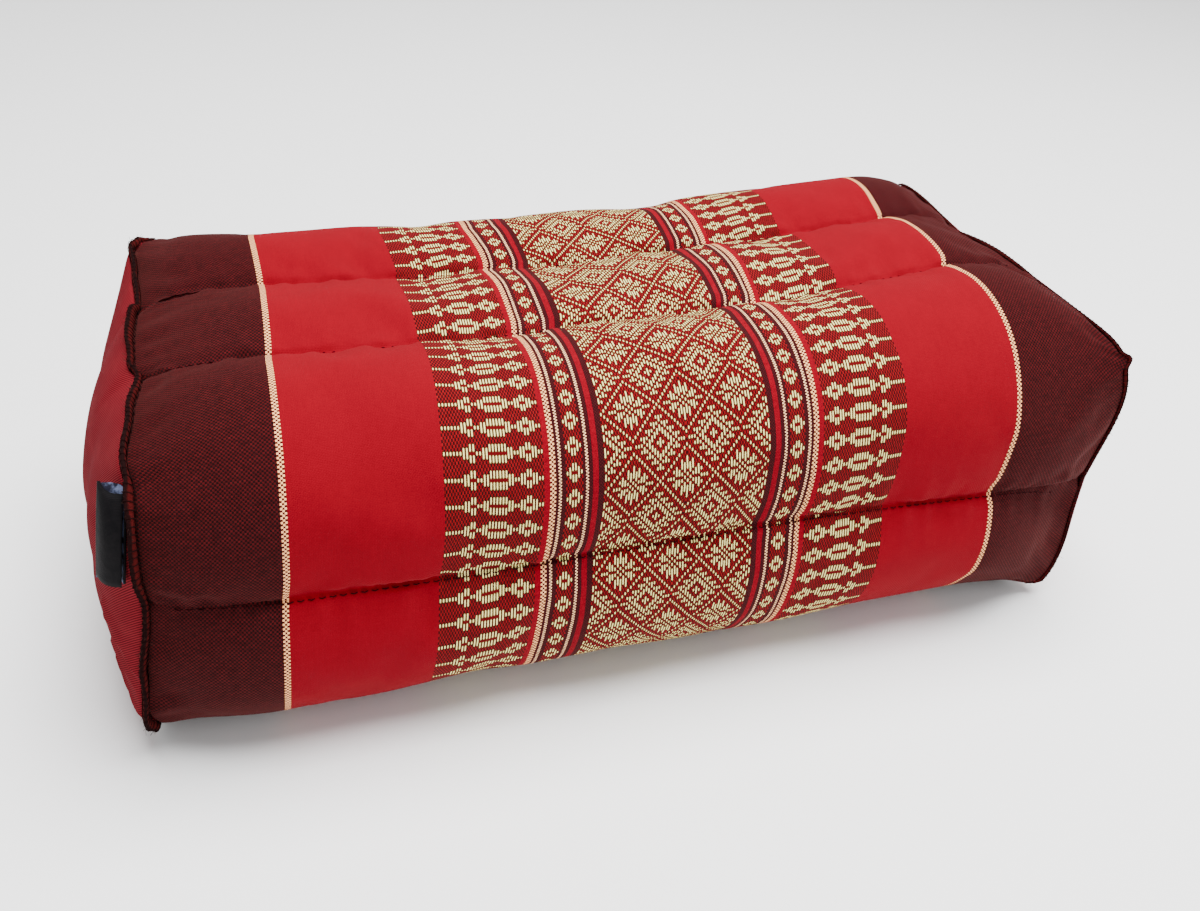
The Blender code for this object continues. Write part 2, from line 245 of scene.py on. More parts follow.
# The warp from the middle of the sleeve to either end: how many threads each stripe has, the colour of its
# warp, and the colour of the weft that crosses it
Stripe = namedtuple("Stripe", "name threads warp weft")
WARP_ORDER = (
    Stripe("lattice", 61, "ground", "ground_shade"),
    Stripe("lattice edge", 4, "maroon", "maroon_light"),
    Stripe("inner red line", 4, "line_red", "line_red"),
    Stripe("inner dark line", 3, "maroon", "maroon_light"),
    Stripe("inner cream line", 2, "cream_line", "rust"),
    Stripe("flower edge", 2, "maroon", "maroon_light"),
    Stripe("flowers", 12, "ground", "maroon"),
    Stripe("flower margin", 3, "maroon", "maroon_light"),
    Stripe("outer cream line", 2, "cream_line", "rust"),
    Stripe("outer dark line", 2, "maroon", "maroon_light"),
    Stripe("peach line", 4, "peach", "rust"),
    Stripe("red line", 4, "bright_red", "line_red"),
    Stripe("beads", 64, "ground", "maroon"),
    Stripe("broad red", 95, "bright_red", "bright_red"),
    Stripe("end peach line", 4, "peach", "rust"),
    Stripe("dark end", 91, "black_warp", "wine_weft"),
)
# The thread that each stripe starts at, counted from the middle
STRIPE_STARTS = {
    stripe.name: sum(before.threads for before in WARP_ORDER[:number])
    for number, stripe in enumerate(WARP_ORDER)
}
# Where threads lie on the stuffed cushion: mm from its middle, and threads counted from there
Gauge = namedtuple("Gauge", "reach threads")
GAUGES = (
    Gauge(0.0, 0.0),
    Gauge(26.92, 61.0),
    Gauge(45.19, 103.0),
    Gauge(74.16, 167.0),
    Gauge(116.8, 262.0),
    Gauge(156.0, 349.0),
)

# How many threads the stripes run aside of that, where the sewing pulled the cloth crooked. A place is a
# tube's number plus the share of the way round it, and the shifts are those at PULL_PLACES along X
Pull = namedtuple("Pull", "place shifts")
PULL_PLACES = (-118.0, -60.0, -33.0, 0.0, 39.0, 62.0, 118.0)
PULLS = (
    Pull(0.0, (0.0, 0.0, 0.0, 0.0, 0.0, 0.0, 0.0)),
    Pull(0.75, (-5.3, -4.2, -5.0, -4.0, -2.6, 0.5, 1.2)),
    Pull(0.97, (-2.0, 3.8, 3.2, 2.0, 1.0, 0.0, 1.2)),
    Pull(1.12, (-1.2, 0.5, -2.0, 1.0, 2.0, 8.0, 2.2)),
    Pull(1.5, (-1.2, 1.7, -0.4, 3.5, 0.8, 5.0, 2.2)),
    Pull(1.9, (-1.2, 3.8, 1.8, 4.8, 0.9, 2.8, 2.2)),
    Pull(2.12, (-2.5, 3.0, -1.3, -3.5, -3.0, -1.1, -5.2)),
    Pull(2.5, (-1.5, 1.6, -0.4, -0.5, -1.5, 1.0, -5.0)),
    Pull(2.9, (-0.4, 0.5, 1.0, -0.3, 0.9, 0.0, -4.7)),
    Pull(3.05, (-1.5, -0.3, 0.0, -1.5, -1.0, 0.5, -4.8)),
    Pull(3.35, (-1.5, -2.0, 0.0, 2.0, 0.0, -0.5, -4.8)),
    Pull(4.0, (0.0, 0.0, 0.0, 0.0, 0.0, 0.0, 0.0)),
    Pull(6.0, (0.0, 0.0, 0.0, 0.0, 0.0, 0.0, 0.0)),
)

# Charts of the raised threads. Each column has the rows that are raised, counted from the motif's middle
# row, and is mirrored above and below that row. Two warp threads make a column
LATTICE_COLUMNS = (
    (1, 3, 4, 5, 6, 10),
    (0, 2, 3, 4, 9, 12),
    (1, 3, 4, 5, 8, 12),
    (1, 2, 7, 10, 12),
    (1, 2, 3, 6, 10, 11),
    (0, 2, 5, 8, 10, 12),
    (0, 4, 8, 9, 11, 12),
    (0, 3, 6, 8, 10, 11),
    (2, 6, 7, 9, 10),
    (1, 4, 6, 8, 9, 12),
    (0, 4, 5, 7, 8, 11, 12),
)
LATTICE_HALF_WIDTH = 10
LATTICE_HALF_HEIGHT = 12
BEAD = (0,)
BUD = (0, 1)
RING = (1, 2)
# The bead column, from the broad red stripe inwards
BEAD_COLUMNS = (
    (6, BEAD), (2, BUD), (2, RING), (2, BEAD), (2, BUD), (6, RING),
    (2, BUD), (2, BEAD), (2, BUD), (2, RING), (2, BUD), (2, BEAD),
)
# A flower, from its middle outwards
FLOWER_COLUMNS = (RING, BUD, BEAD)
MOTIF_REPEAT = 7
MOTIF_HALF_HEIGHT = 3
MASK_SIZE = 2 ** (LATTICE_HALF_HEIGHT + 1)
# How far a raised thread lies over the row above and below it, in rows
OVERHANG = 0.16
# How long the rounded end of a raised thread is, in rows
END_ROUNDING = 0.5
# How much darker the cloth is in the shade of a raised thread
RIM_DARKNESS = 0.72


def to_linear(*parts):
    """Scene colours from parts of 255 as a paint chart or a screen gives them."""
    shares = [part / 255 for part in parts]
    return tuple(s / 12.92 if s <= 0.04045 else ((s + 0.055) / 1.055) ** 2.4 for s in shares)


def colour_property(name, description, *parts):
    return FloatVectorProperty(
        name=name, description=description, default=to_linear(*parts), min=0.0, max=1.0, subtype="COLOR"
    )


def length_property(name, description, default):
    """A length in metres, from a default in millimetres."""
    return FloatProperty(name=name, description=description, default=default * MM, min=0.0, unit="LENGTH")


def share_property(name, description, default):
    limits = {"min": 0.0, "max": 1.0, "subtype": "FACTOR"}
    return FloatProperty(name=name, description=description, default=default, **limits)


def power_property(name, description, default):
    return FloatProperty(name=name, description=description, default=default, min=0.0, unit="POWER")


class SleeveSettings(bpy.types.PropertyGroup):
    cream: colour_property("Raised thread", "Cotton of the raised pattern", 255, 240, 156)
    # Painted shade on the round sides of the raised cotton, darker than its top
    cream_painted_shade: colour_property("Raised thread shade", "Sides of the raised cotton", 74, 58, 22)
    ground: colour_property("Pattern ground", "Warp between the raised threads", 116, 10, 16)
    ground_shade: colour_property("Pattern ground shade", "Weft between the raised threads", 44, 4, 7)
    gap_red: colour_property("Motif gap", "Cloth between the raised rows of a motif", 84, 4, 10)
    line_red: colour_property("Red line", "The thin red lines beside the patterns", 114, 0, 19)
    bright_red: colour_property("Bright red", "The broad red stripes", 114, 0, 18)
    maroon: colour_property("Dark line", "Dark lines beside the patterns", 36, 8, 11)
    maroon_light: colour_property("Dark line weft", "Weft in the dark lines", 58, 13, 17)
    cream_line: colour_property("Cream line", "Warp of the thin pale lines", 248, 196, 148)
    peach: colour_property("Peach line", "Warp of the peach lines", 250, 180, 124)
    rust: colour_property("Rust", "Weft that crosses the pale lines", 62, 12, 8)
    black_warp: colour_property("Dark end warp", "Nearly black warp of the ends", 20, 6, 8)
    wine_weft: colour_property("Dark end weft", "Wine weft of the ends", 62, 11, 13)
    raised_width: share_property("Raised width", "Share of its column that a raised thread covers", 0.69)
    raised_height: length_property("Raised height", "How far a raised thread stands up", 0.22)
    weave_height: length_property("Weave height", "How far the plain weave's threads stand up", 0.05)
    groove_depth: length_property("Channel depth", "How deep the stitches pull the cloth in", 1.1)
    pucker_height: length_property("Pucker height", "Height of the puckers beside a channel", 0.38)


class EndSettings(bpy.types.PropertyGroup):
    crimson: colour_property("Crimson", "Face of the end cloth", 122, 30, 38)
    crimson_shade: colour_property("Crimson shade", "Lines between the threads", 60, 8, 14)
    rose: colour_property("Rose", "Where the end cloth has rubbed paler", 128, 42, 46)
    thread_pitch: length_property("Thread pitch", "Distance between the slanting lines", 0.9)


class EdgeSettings(bpy.types.PropertyGroup):
    thread: colour_property("Overlock thread", "Dark thread round the raw edges", 24, 9, 9)
    cloth_edge: colour_property("Cloth edge", "Cut edges between the threads", 66, 15, 15)
    fibre: colour_property("Fibre", "Loose fibre ends", 54, 36, 31)
    stitch_pitch: length_property("Overlock pitch", "Distance between two overlock stitches", 4.4)
    thread_width: length_property("Overlock thread width", "Thickness of the overlock thread", 0.3)
    fibres: IntProperty(name="Fibres", description="Loose fibre ends on each edge", default=420, min=0)


class TrimSettings(bpy.types.PropertyGroup):
    ribbon: colour_property("Ribbon", "Outside of the loop label", 13, 11, 13)
    lining: colour_property("Ribbon inside", "Inside of the loop label", 90, 98, 126)
    # Painted shade: ribbon_finish puts these darker colours in the hollows of the crumples, on the ribbon and
    # inside the loop
    ribbon_painted_shade: colour_property("Ribbon shade", "Darker places on the ribbon", 8, 7, 9)
    lining_painted_shade: colour_property("Ribbon inside shade", "Darker places inside the loop label", 22, 22, 34)
    stitch: colour_property("Stitch", "Thread in the channels", 34, 4, 7)
    stitch_pitch: length_property("Stitch pitch", "Distance between two stitches", 3.0)
    stitch_width: length_property("Stitch width", "Thickness of the stitching thread", 0.36)


class StageSettings(bpy.types.PropertyGroup):
    floor: colour_property("Floor", "Pale floor", 246, 246, 246)
    key_power: power_property("Key light", "Power of the large overhead light", 60.0)
    fill_power: power_property("Fill light", "Power of the front light", 5.0)
    room: share_property("Room light", "Strength of the even light all round", 0.78)


def mix(first, second, share):
    return first + (second - first) * share


def bell(distance, reach):
    """1 at no distance, falling smoothly to nothing beyond reach."""
    return np.exp(-((distance / reach) ** 2))


def arc_spot(start, end, crown, share):
    """A point on the round arc from start to end that stands proud of their chord by crown."""
    chord = end - start
    along = chord.normalized()
    out = Vector((along.y, -along.x))
    radius = (chord.length_squared / 4 + crown * crown) / (2 * crown)
    half_turn = acos(max(-1.0, min(1.0, (radius - crown) / radius)))
    turn = half_turn * (2 * share - 1)
    middle = (start + end) / 2 - out * (radius - crown)
    return middle + along * (radius * sin(turn)) + out * (radius * cos(turn))


def corner_spot(start, end, corner, sharpness, share):
    """A point on the curve from start to end that is drawn towards a corner."""
    parts = ((1 - share) ** 2, 2 * share * (1 - share) * sharpness, share ** 2)
    return (start * parts[0] + corner * parts[1] + end * parts[2]) / sum(parts)


def channel_spots(waist_share):
    """Where the channels run, from the middle of the sleeve at 0 to where its waists end at 1."""
    return [Vector((channel.y, channel.z + channel.rise * waist_share ** 2)) for channel in CHANNELS]


END_CHANNELS = {
    -1: [Vector((channel.left_y, channel.left_z)) for channel in CHANNELS],
    1: [Vector((channel.right_y, channel.right_z)) for channel in CHANNELS],
}


def beside_channel(share):
    """1 at a tube's first channel, falling to nothing at its other one."""
    return (1 - share) ** 3


def channel_wander(x, index, share):
    """How far the channels beside a point draw it along, in Y and Z."""
    shift = Vector((0.0, 0.0))
    for number, nearness in ((index, beside_channel(share)), (index + 1, beside_channel(1 - share))):
        stops = CHANNEL_WANDERS.get(CHANNELS[number % len(CHANNELS)].name)
        if stops:
            places, in_y, in_z = zip(*stops)
            shift.x += nearness * float(np.interp(x, places, in_y))
            shift.y += nearness * float(np.interp(x, places, in_z))
    return shift


def seam_stop(side, index, share):
    """How far out an end seam lies there of the solids' seam, and its edge's share of its usual height."""
    stops = SEAM_STOPS[side]
    place = index + share
    for first, second in zip(stops, stops[1:]):
        if place <= second.place:
            reached = (place - first.place) / (second.place - first.place)
            eased = reached * reached * (3 - 2 * reached)
            return mix(first.out, second.out, eased), mix(first.rise, second.rise, eased)
    return stops[-1].out, stops[-1].rise


def end_spot(side, index, share):
    """A point on the end seam, in tube number index, at a share of the way round it."""
    return plain_end_spot(side, index, share) + channel_wander(side * HALF_LENGTH, index, share)


def plain_end_spot(side, index, share):
    """The same before the channels' wandering."""
    first, last = END_CHANNELS[side][index], END_CHANNELS[side][(index + 1) % len(CHANNELS)]
    end_tube = END_TUBES[side][index]
    if end_tube.crown:
        return arc_spot(first, last, end_tube.crown, share)
    corner = Vector((end_tube.corner_y, end_tube.corner_z))
    return corner_spot(first, last, corner, end_tube.sharpness, share)


def turn_at(index, share):
    """The angle round the section, as the solids count it."""
    steps = sum(tube.steps for tube in TUBES[:index]) + share * TUBES[index].steps
    return 2 * pi * steps / AROUND


def lump_height(along, turn):
    """How far the stuffing pushes the cloth out. It fades out at the end seams."""
    height = sum(
        lump.height * sin(lump.along * pi * along + lump.phase) * cos(lump.around * turn + lump.phase)
        for lump in LUMPS
    )
    return height * (1 - along ** 6)


def sleeve_spot(along, channels, index, share):
    """Depth and height of the sleeve. along is -1 at the left end seam and 1 at the right one."""
    side = -1 if along < 0 else 1
    late = LATE_DRAW_IN * (1 - sin(pi * share)) ** 2 if index < TOP_TUBES else 0.0
    if side < 0 and index == 0:
        late += BACK_DRAW_IN
    drawn = max(0.0, (abs(along) - DRAW_IN_START) / (1 - DRAW_IN_START)) ** (DRAW_IN_POWER + late)
    full = arc_spot(channels[index], channels[(index + 1) % len(channels)], TUBES[index].crown, share)
    push = (full - Vector((0.0, MIDDLE_HEIGHT))).normalized() * lump_height(along, turn_at(index, share))
    full += push * sin(pi * share)
    if drawn:
        full = mix(full, plain_end_spot(side, index, share), drawn)
    return full + channel_wander(along * HALF_LENGTH, index, share)


def settle(x, y, z):
    """Where a point of the square cushion lies once the stuffing has pushed it about."""
    share = x / HALF_LENGTH
    swell = min(share, 0.0) ** 2 * ((y - SWELL_FRONT) / (SWELL_BACK - SWELL_FRONT)) ** 2
    moved_x = x + LEAN * (z - LEAN_LEVEL)
    moved_y = y * (1 + DEPTH_GROWTH * share) + PLAN_SKEW * x + SWELL_DEPTH * swell
    moved_z = max(0.0, z) * (1 + HEIGHT_GROWTH * share + SWELL_HEIGHT * swell / (2 * MIDDLE_HEIGHT))
    return Vector((moved_x, moved_y, moved_z)) + STAND_SHIFT


def dome_height(ring):
    """How far an end stands out. ring is 1 at its seam and 0 at its middle."""
    return END_BULGE * (1 - ring ** 2.2) ** 0.85


def dent_depth(ring, y, z):
    """How far the walls between the stuffed tubes draw an end in."""
    walls = bell(z - PANEL_CENTRE_Z, DENT_REACH) + sum(bell(y - wall, DENT_REACH) for wall in UPRIGHT_DENTS)
    return PANEL_DENT * walls * (1 - ring ** 2)


def dome_spot(spoke, ring):
    """A point of an end from its middle. It turns from the seam's own shape to an oval at the middle."""
    oval = spoke / sqrt((spoke.x / PANEL_OVAL_Y) ** 2 + (spoke.y / PANEL_OVAL_Z) ** 2)
    return mix(oval, spoke, ring ** 3) * ring


def outward(point):
    """The direction away from the cushion's core, in the plane of an end seam."""
    core_y = max(-CORE_HALF_DEPTH, min(CORE_HALF_DEPTH, point.x))
    core_z = max(CORE_BOTTOM, min(CORE_TOP, point.y))
    return (point - Vector((core_y, core_z))).normalized()


# How much of the steps round a tube is even, and how much is closer together beside its channels
EVEN_PART = 0.22
CLOSE_PART = 0.78


def tube_shares(steps):
    """Shares of the way round a tube."""
    even = np.arange(steps) / steps
    return EVEN_PART * even + CLOSE_PART * (0.5 - 0.5 * np.cos(pi * even))


AROUND_SPOTS = [(index, share) for index, tube in enumerate(TUBES) for share in tube_shares(tube.fine)]
# The sleeve has both tubes' own points at a channel, so that each keeps its woven rows up to it
SLEEVE_SPOTS = [
    (index, share) for index, tube in enumerate(TUBES) for share in (*tube_shares(tube.fine), 1.0)
]


def maths(operation, backwards=False):
    """A method that adds one Math node for an operation, with its two numbers swapped where backwards."""
    def method(self, *others):
        parts = (*others, self) if backwards else (self, *others)
        node = self.finish.add("ShaderNodeMath", {"operation": operation}, dict(enumerate(parts)))
        return Value(self.finish, node.outputs[0])
    return method


class Value:
    """A number that changes over a surface. Python's operators on it add Math nodes."""

    __add__ = maths("ADD")
    __radd__ = maths("ADD", backwards=True)
    __sub__ = maths("SUBTRACT")
    __rsub__ = maths("SUBTRACT", backwards=True)
    __mul__ = maths("MULTIPLY")
    __rmul__ = maths("MULTIPLY", backwards=True)
    __truediv__ = maths("DIVIDE")
    __pow__ = maths("POWER")
    __rpow__ = maths("POWER", backwards=True)
    __mod__ = maths("FLOORED_MODULO")
    __gt__ = maths("GREATER_THAN")
    __lt__ = maths("LESS_THAN")
    __abs__ = maths("ABSOLUTE")
    floor = maths("FLOOR")
    fraction = maths("FRACT")
    sine = maths("SINE")
    least = maths("MINIMUM")
    most = maths("MAXIMUM")

    def __init__(self, finish, socket):
        self.finish = finish
        self.socket = socket

    def choose(self, when_one, when_zero):
        """when_one where this is 1 and when_zero where it is 0."""
        return when_zero + self * (when_one - when_zero)

    def between(self, low, high):
        """0 at low or less and 1 at high or more, with soft ends."""
        node = self.finish.add(
            "ShaderNodeMapRange",
            {"interpolation_type": "SMOOTHSTEP"},
            {"Value": self, "From Min": low, "From Max": high, "To Min": 0.0, "To Max": 1.0},
        )
        return Value(self.finish, node.outputs["Result"])


SHEEN_ROUGHNESS = 0.45


class Finish:
    """A material with one Principled shader, and short ways to add nodes to it."""

    def __init__(self, name, roughness, sheen=0.0, specular=0.3, tint=(1.0, 1.0, 1.0)):
        self.material = bpy.data.materials.new(name)
        self.material.use_nodes = True
        self.tree = self.material.node_tree
        self.shader = self.tree.nodes["Principled BSDF"]
        self.shader.inputs["Roughness"].default_value = roughness
        self.shader.inputs["Sheen Weight"].default_value = sheen
        self.shader.inputs["Sheen Roughness"].default_value = SHEEN_ROUGHNESS
        self.shader.inputs["Sheen Tint"].default_value = (*tint, 1.0)
        self.shader.inputs["Specular IOR Level"].default_value = specular

    def add(self, kind, settings=None, sockets=None):
        """A node of a kind, with its settings made first and then the values or links of its sockets."""
        node = self.tree.nodes.new(kind)
        for key, setting in (settings or {}).items():
            if key == "stops":
                self.set_stops(node.color_ramp, setting)
            elif key == "steps":
                node.color_ramp.interpolation = setting
            else:
                setattr(node, key, setting)
        for key, part in (sockets or {}).items():
            socket = node.inputs[key]
            if isinstance(part, Value):
                self.tree.links.new(part.socket, socket)
            elif isinstance(part, bpy.types.NodeSocket):
                self.tree.links.new(part, socket)
            else:
                socket.default_value = part
        return node

    @staticmethod
    def set_stops(ramp, stops):
        while len(ramp.elements) < len(stops):
            ramp.elements.new(1.0)
        for element, (position, colour) in zip(ramp.elements, stops):
            element.position = position
            element.color = (*colour, 1.0)

    def parts(self, vector):
        """The three numbers of a vector."""
        node = self.add("ShaderNodeSeparateXYZ", sockets={"Vector": vector})
        return [Value(self, output) for output in node.outputs]

    def vector(self, *numbers):
        return self.add("ShaderNodeCombineXYZ", sockets=dict(enumerate(numbers))).outputs[0]

    def cloth_place(self, name):
        """Threads from the middle of the sleeve, and the rows round it that a UV map counts."""
        node = self.add("ShaderNodeUVMap", {"uv_map": name})
        return self.parts(node.outputs["UV"])[:2]

    def object_place(self):
        """The place on the cushion, in millimetres."""
        node = self.add("ShaderNodeTexCoord")
        return [part / MM for part in self.parts(node.outputs["Object"])]

    def noise(self, vector, scale=1.0, detail=2.0, roughness=0.5):
        """Smooth noise from 0 to 1."""
        node = self.add(
            "ShaderNodeTexNoise",
            sockets={"Vector": vector, "Scale": scale, "Detail": detail, "Roughness": roughness},
        )
        return Value(self, node.outputs["Fac"])

    def blend(self, share, first, second):
        """The colour first where share is 0 and second where it is 1."""
        first, second = [c if isinstance(c, bpy.types.NodeSocket) else (*c, 1.0) for c in (first, second)]
        node = self.add("ShaderNodeMix", {"data_type": "RGBA"}, {0: share, 6: first, 7: second})
        return node.outputs[2]

    def plain(self, colour):
        """One colour, for what takes a link."""
        return self.blend(0.0, colour, colour)

    def shaded(self, colour, level):
        """A colour made darker or lighter by a changing level."""
        node = self.add("ShaderNodeVectorMath", {"operation": "SCALE"}, {0: colour, "Scale": level})
        return node.outputs[0]

    def varied(self, colour, noise, spread):
        """A colour made darker and lighter by a noise, by a share of spread in all."""
        return self.shaded(colour, 1 - spread / 2 + noise * spread)

    def chart(self, columns, column):
        """The mask of raised rows in a column of a chart, given by its whole number."""
        count = sum(width for width, rows in columns)
        stops, start = [], 0
        for width, rows in columns:
            mask = sum(2 ** row for row in rows)
            stops.append((start / count, (mask / MASK_SIZE,) * 3))
            start += width
        steps = {"stops": stops, "steps": "CONSTANT"}
        ramp = self.add("ShaderNodeValToRGB", steps, {"Fac": (column + 0.5) / count})
        red = self.add("ShaderNodeSeparateColor", sockets={"Color": ramp.outputs["Color"]})
        return Value(self, red.outputs[0]) * MASK_SIZE

    def colour(self, colour):
        self.tree.links.new(colour, self.shader.inputs["Base Color"])

    def relief(self, height, strength=1.0):
        """A height in millimetres becomes bump."""
        bump = self.add("ShaderNodeBump", sockets={"Strength": strength, "Distance": MM, "Height": height})
        self.tree.links.new(bump.outputs["Normal"], self.shader.inputs["Normal"])


def beyond(threads, name):
    """1 past the start of a stripe and 0 before it."""
    return threads > float(STRIPE_STARTS[name])


def within(threads, name, following):
    """1 between the starts of two stripes."""
    return beyond(threads, name) * (threads < STRIPE_STARTS[following])


def raised_rows(row, period, half, mask):
    """1 where a chart's mask has a row raised. The rows are mirrored about each motif's middle."""
    folded = abs((row + half) % period - half)
    return ((mask + 0.5) / 2 ** folded).floor() % 2


RaisedThread = namedtuple("RaisedThread", "along side gap")


def raised_threads(finish, threads, lattice_row, motif_row):
    """How deep inside a raised thread a place is, along and across it, and where a motif's red gap is."""
    look = bpy.context.scene.cushion_sleeve
    in_lattice = threads < STRIPE_STARTS["lattice edge"]
    in_beads = within(threads, "beads", "broad red")
    in_flowers = within(threads, "flowers", "flower margin")
    lattice_place = (threads + 1) / 2
    flower_place = (threads - STRIPE_STARTS["flowers"]) / 2
    bead_place = (STRIPE_STARTS["broad red"] - threads) / 2
    lattice_place_in = (lattice_place.floor() + LATTICE_HALF_WIDTH) % (2 * LATTICE_HALF_WIDTH)
    lattice_column = abs(lattice_place_in - LATTICE_HALF_WIDTH)
    flower_column = abs(flower_place.floor() - 2.5) - 0.5
    lattice_mask = finish.chart([(1, rows) for rows in LATTICE_COLUMNS], lattice_column)
    flower_mask = finish.chart([(1, rows) for rows in FLOWER_COLUMNS], flower_column)
    bead_mask = finish.chart(BEAD_COLUMNS, bead_place.floor())
    mask = in_lattice * lattice_mask + in_flowers * flower_mask + in_beads * bead_mask
    place = in_lattice.choose(lattice_place, in_flowers.choose(flower_place, bead_place))
    across = abs(place.fraction() - 0.5)
    period = in_lattice.choose(2 * LATTICE_HALF_HEIGHT, MOTIF_REPEAT)
    half = in_lattice.choose(LATTICE_HALF_HEIGHT, MOTIF_HALF_HEIGHT)
    counted = in_lattice.choose(lattice_row, motif_row)
    whole = (counted + 0.5).floor()
    off_row = counted - whole
    here = raised_rows(whole, period, half, mask)
    above = raised_rows(whole + 1, period, half, mask)
    below = raised_rows(whole - 1, period, half, mask)
    reach = 0.5 + OVERHANG
    inside = (above * 2 + reach - off_row).least(below * 2 + reach + off_row)
    past_end = (above * (off_row + reach) - 1).most(below * (reach - off_row) - 1)
    gap = (in_beads + in_flowers) * (1 - here) * above * below
    return RaisedThread(here.choose(inside, past_end), look.raised_width / 2 - across, gap)


# The plain weave's threads for each thread of the warp order where it is coarser, and its picks for each row
COARSE_THREADS = 0.75
GROUND_PICKS = 1.0
COARSE_PICKS = 1.5
FINE_PICKS = 2.0
# How uneven the threads' colours are, in the broad stripes, the dark ends and the patterns
UNEVEN = 0.3
UNEVEN_END = 1.4
UNEVEN_PATTERN = 1.0
# How far the noise moves on from one warp thread to the next, and along one for each row, in the patterns and
# beyond them. Then the same for the weft. The seeds keep the noises apart
WARP_STEP = 0.61
SLUB_CHANGES = (0.6, 0.14)
WEFT_STEP = 0.57
WEFT_CHANGE = 0.16
RIGHT_SEED = 7.0
WEFT_SEED = 8.0


def plain_weave(finish, side_threads, row):
    """The striped cloth's colour, and how high its round threads stand from 0 to 1."""
    look = bpy.context.scene.cushion_sleeve
    threads = abs(side_threads)
    patterned = threads < STRIPE_STARTS["broad red"]
    in_end = beyond(threads, "end peach line")
    in_peach = within(threads, "peach line", "red line")
    warp_place = in_end.choose((threads - STRIPE_STARTS["end peach line"]) * COARSE_THREADS, threads)
    warp_place = in_peach.choose((threads - STRIPE_STARTS["peach line"]) * COARSE_THREADS, warp_place)
    coarse = in_end.most(in_peach)
    in_ground = (threads < STRIPE_STARTS["lattice edge"]).most(within(threads, "flowers", "flower margin"))
    in_ground = in_ground.most(beyond(threads, "beads") * patterned)
    pick = row * in_ground.choose(GROUND_PICKS, coarse.choose(COARSE_PICKS, FINE_PICKS))
    warp_up = (warp_place.floor() + pick.floor()) % 2
    warp_round = (warp_place.fraction() * pi).sine()
    weft_round = (pick.fraction() * pi).sine()
    warp, weft = getattr(look, WARP_ORDER[0].warp), getattr(look, WARP_ORDER[0].weft)
    for stripe in WARP_ORDER[1:]:
        reached = beyond(threads, stripe.name)
        warp = finish.blend(reached, warp, getattr(look, stripe.warp))
        weft = finish.blend(reached, weft, getattr(look, stripe.weft))
    slub_change = patterned.choose(*SLUB_CHANGES)
    warp_seed = (side_threads > 0) * RIGHT_SEED
    warp_spot = (warp_place.floor() * WARP_STEP, row * slub_change, warp_seed)
    weft_spot = (side_threads * WEFT_CHANGE, pick.floor() * WEFT_STEP, WEFT_SEED)
    slub_warp = finish.noise(finish.vector(*warp_spot))
    slub_weft = finish.noise(finish.vector(*weft_spot))
    uneven = UNEVEN + beyond(threads, "dark end") * UNEVEN_END + patterned * UNEVEN_PATTERN
    warp = finish.shaded(warp, 1 + (slub_warp - 0.5) * uneven)
    weft = finish.shaded(weft, 1 + (slub_weft - 0.5) * uneven)
    return finish.blend(warp_up, weft, warp), warp_up.choose(warp_round, weft_round)


# How deep inside a raised thread its edge, the shade round it and its rounded top begin and are full. The
# rounded top also sets where the cotton's painted shade on its round sides gives way to its own colour
RAISED_EDGE = (-0.06, 0.12)
RIM_EDGE = (-0.75, -0.1)
ROUNDED_EDGE = (0.0, 0.7)
# How much the raised cotton's plies and the whole cloth's mottle change the colour
PLY_SPREAD = 0.28
MOTTLE_SPREAD = 0.14


def sleeve_finish():
    """Striped plain weave with the raised pattern of cream cotton on it."""
    look = bpy.context.scene.cushion_sleeve
    finish = Finish("sleeve_weave", roughness=0.9, sheen=0.08, specular=0.04, tint=(1.0, 0.3, 0.26))
    side_threads, row = finish.cloth_place("cloth")
    motif_row = finish.cloth_place("motifs")[1]
    cloth, weave = plain_weave(finish, side_threads, row)
    along, side, gap = raised_threads(finish, abs(side_threads), row, motif_row)
    cloth = finish.blend(gap, cloth, look.gap_red)
    across_share = 1 - side / (look.raised_width / 2)
    end_share = (1 - along / END_ROUNDING).most(0.0)
    depth = 1 - (across_share * across_share + end_share * end_share) ** 0.5
    raised = depth.between(*RAISED_EDGE)
    rim = depth.between(*RIM_EDGE) * (1 - raised) * (1 - gap)
    cloth = finish.shaded(cloth, 1 - rim * RIM_DARKNESS)
    rounded = depth.between(*ROUNDED_EDGE)
    ply = finish.noise(finish.vector(side_threads * 3.1, row * 1.3, 1.0), detail=1.0)
    # Painted shade: the cotton turns from its painted shade colour on the round sides to its own colour on
    # top
    cotton = finish.blend(rounded, look.cream_painted_shade, look.cream)
    cloth = finish.blend(raised, cloth, finish.varied(cotton, ply, PLY_SPREAD))
    mottle = finish.noise(finish.vector(side_threads * 0.05, row * 0.11, 0.0), detail=3.0)
    finish.colour(finish.varied(cloth, mottle, MOTTLE_SPREAD))
    finish.relief(weave * (look.weave_height / MM) + rounded * (look.raised_height / MM))
    return finish.material


# The end cloth: its threads' and rubbed streaks' size in Y and Z, in mm, where the line between two threads
# and a streak begin and are full, how much rose a streak takes, and how dark and how varied the cloth is
THREAD_SIZE = (0.9, 0.25)
STREAK_SIZE = (14, 7)
LINE_EDGE = (0.1, 0.8)
STREAK_EDGE = (0.4, 0.95)
STREAK_SHARE = 0.35
END_DARKEST = 0.86
END_SPREAD = 0.26


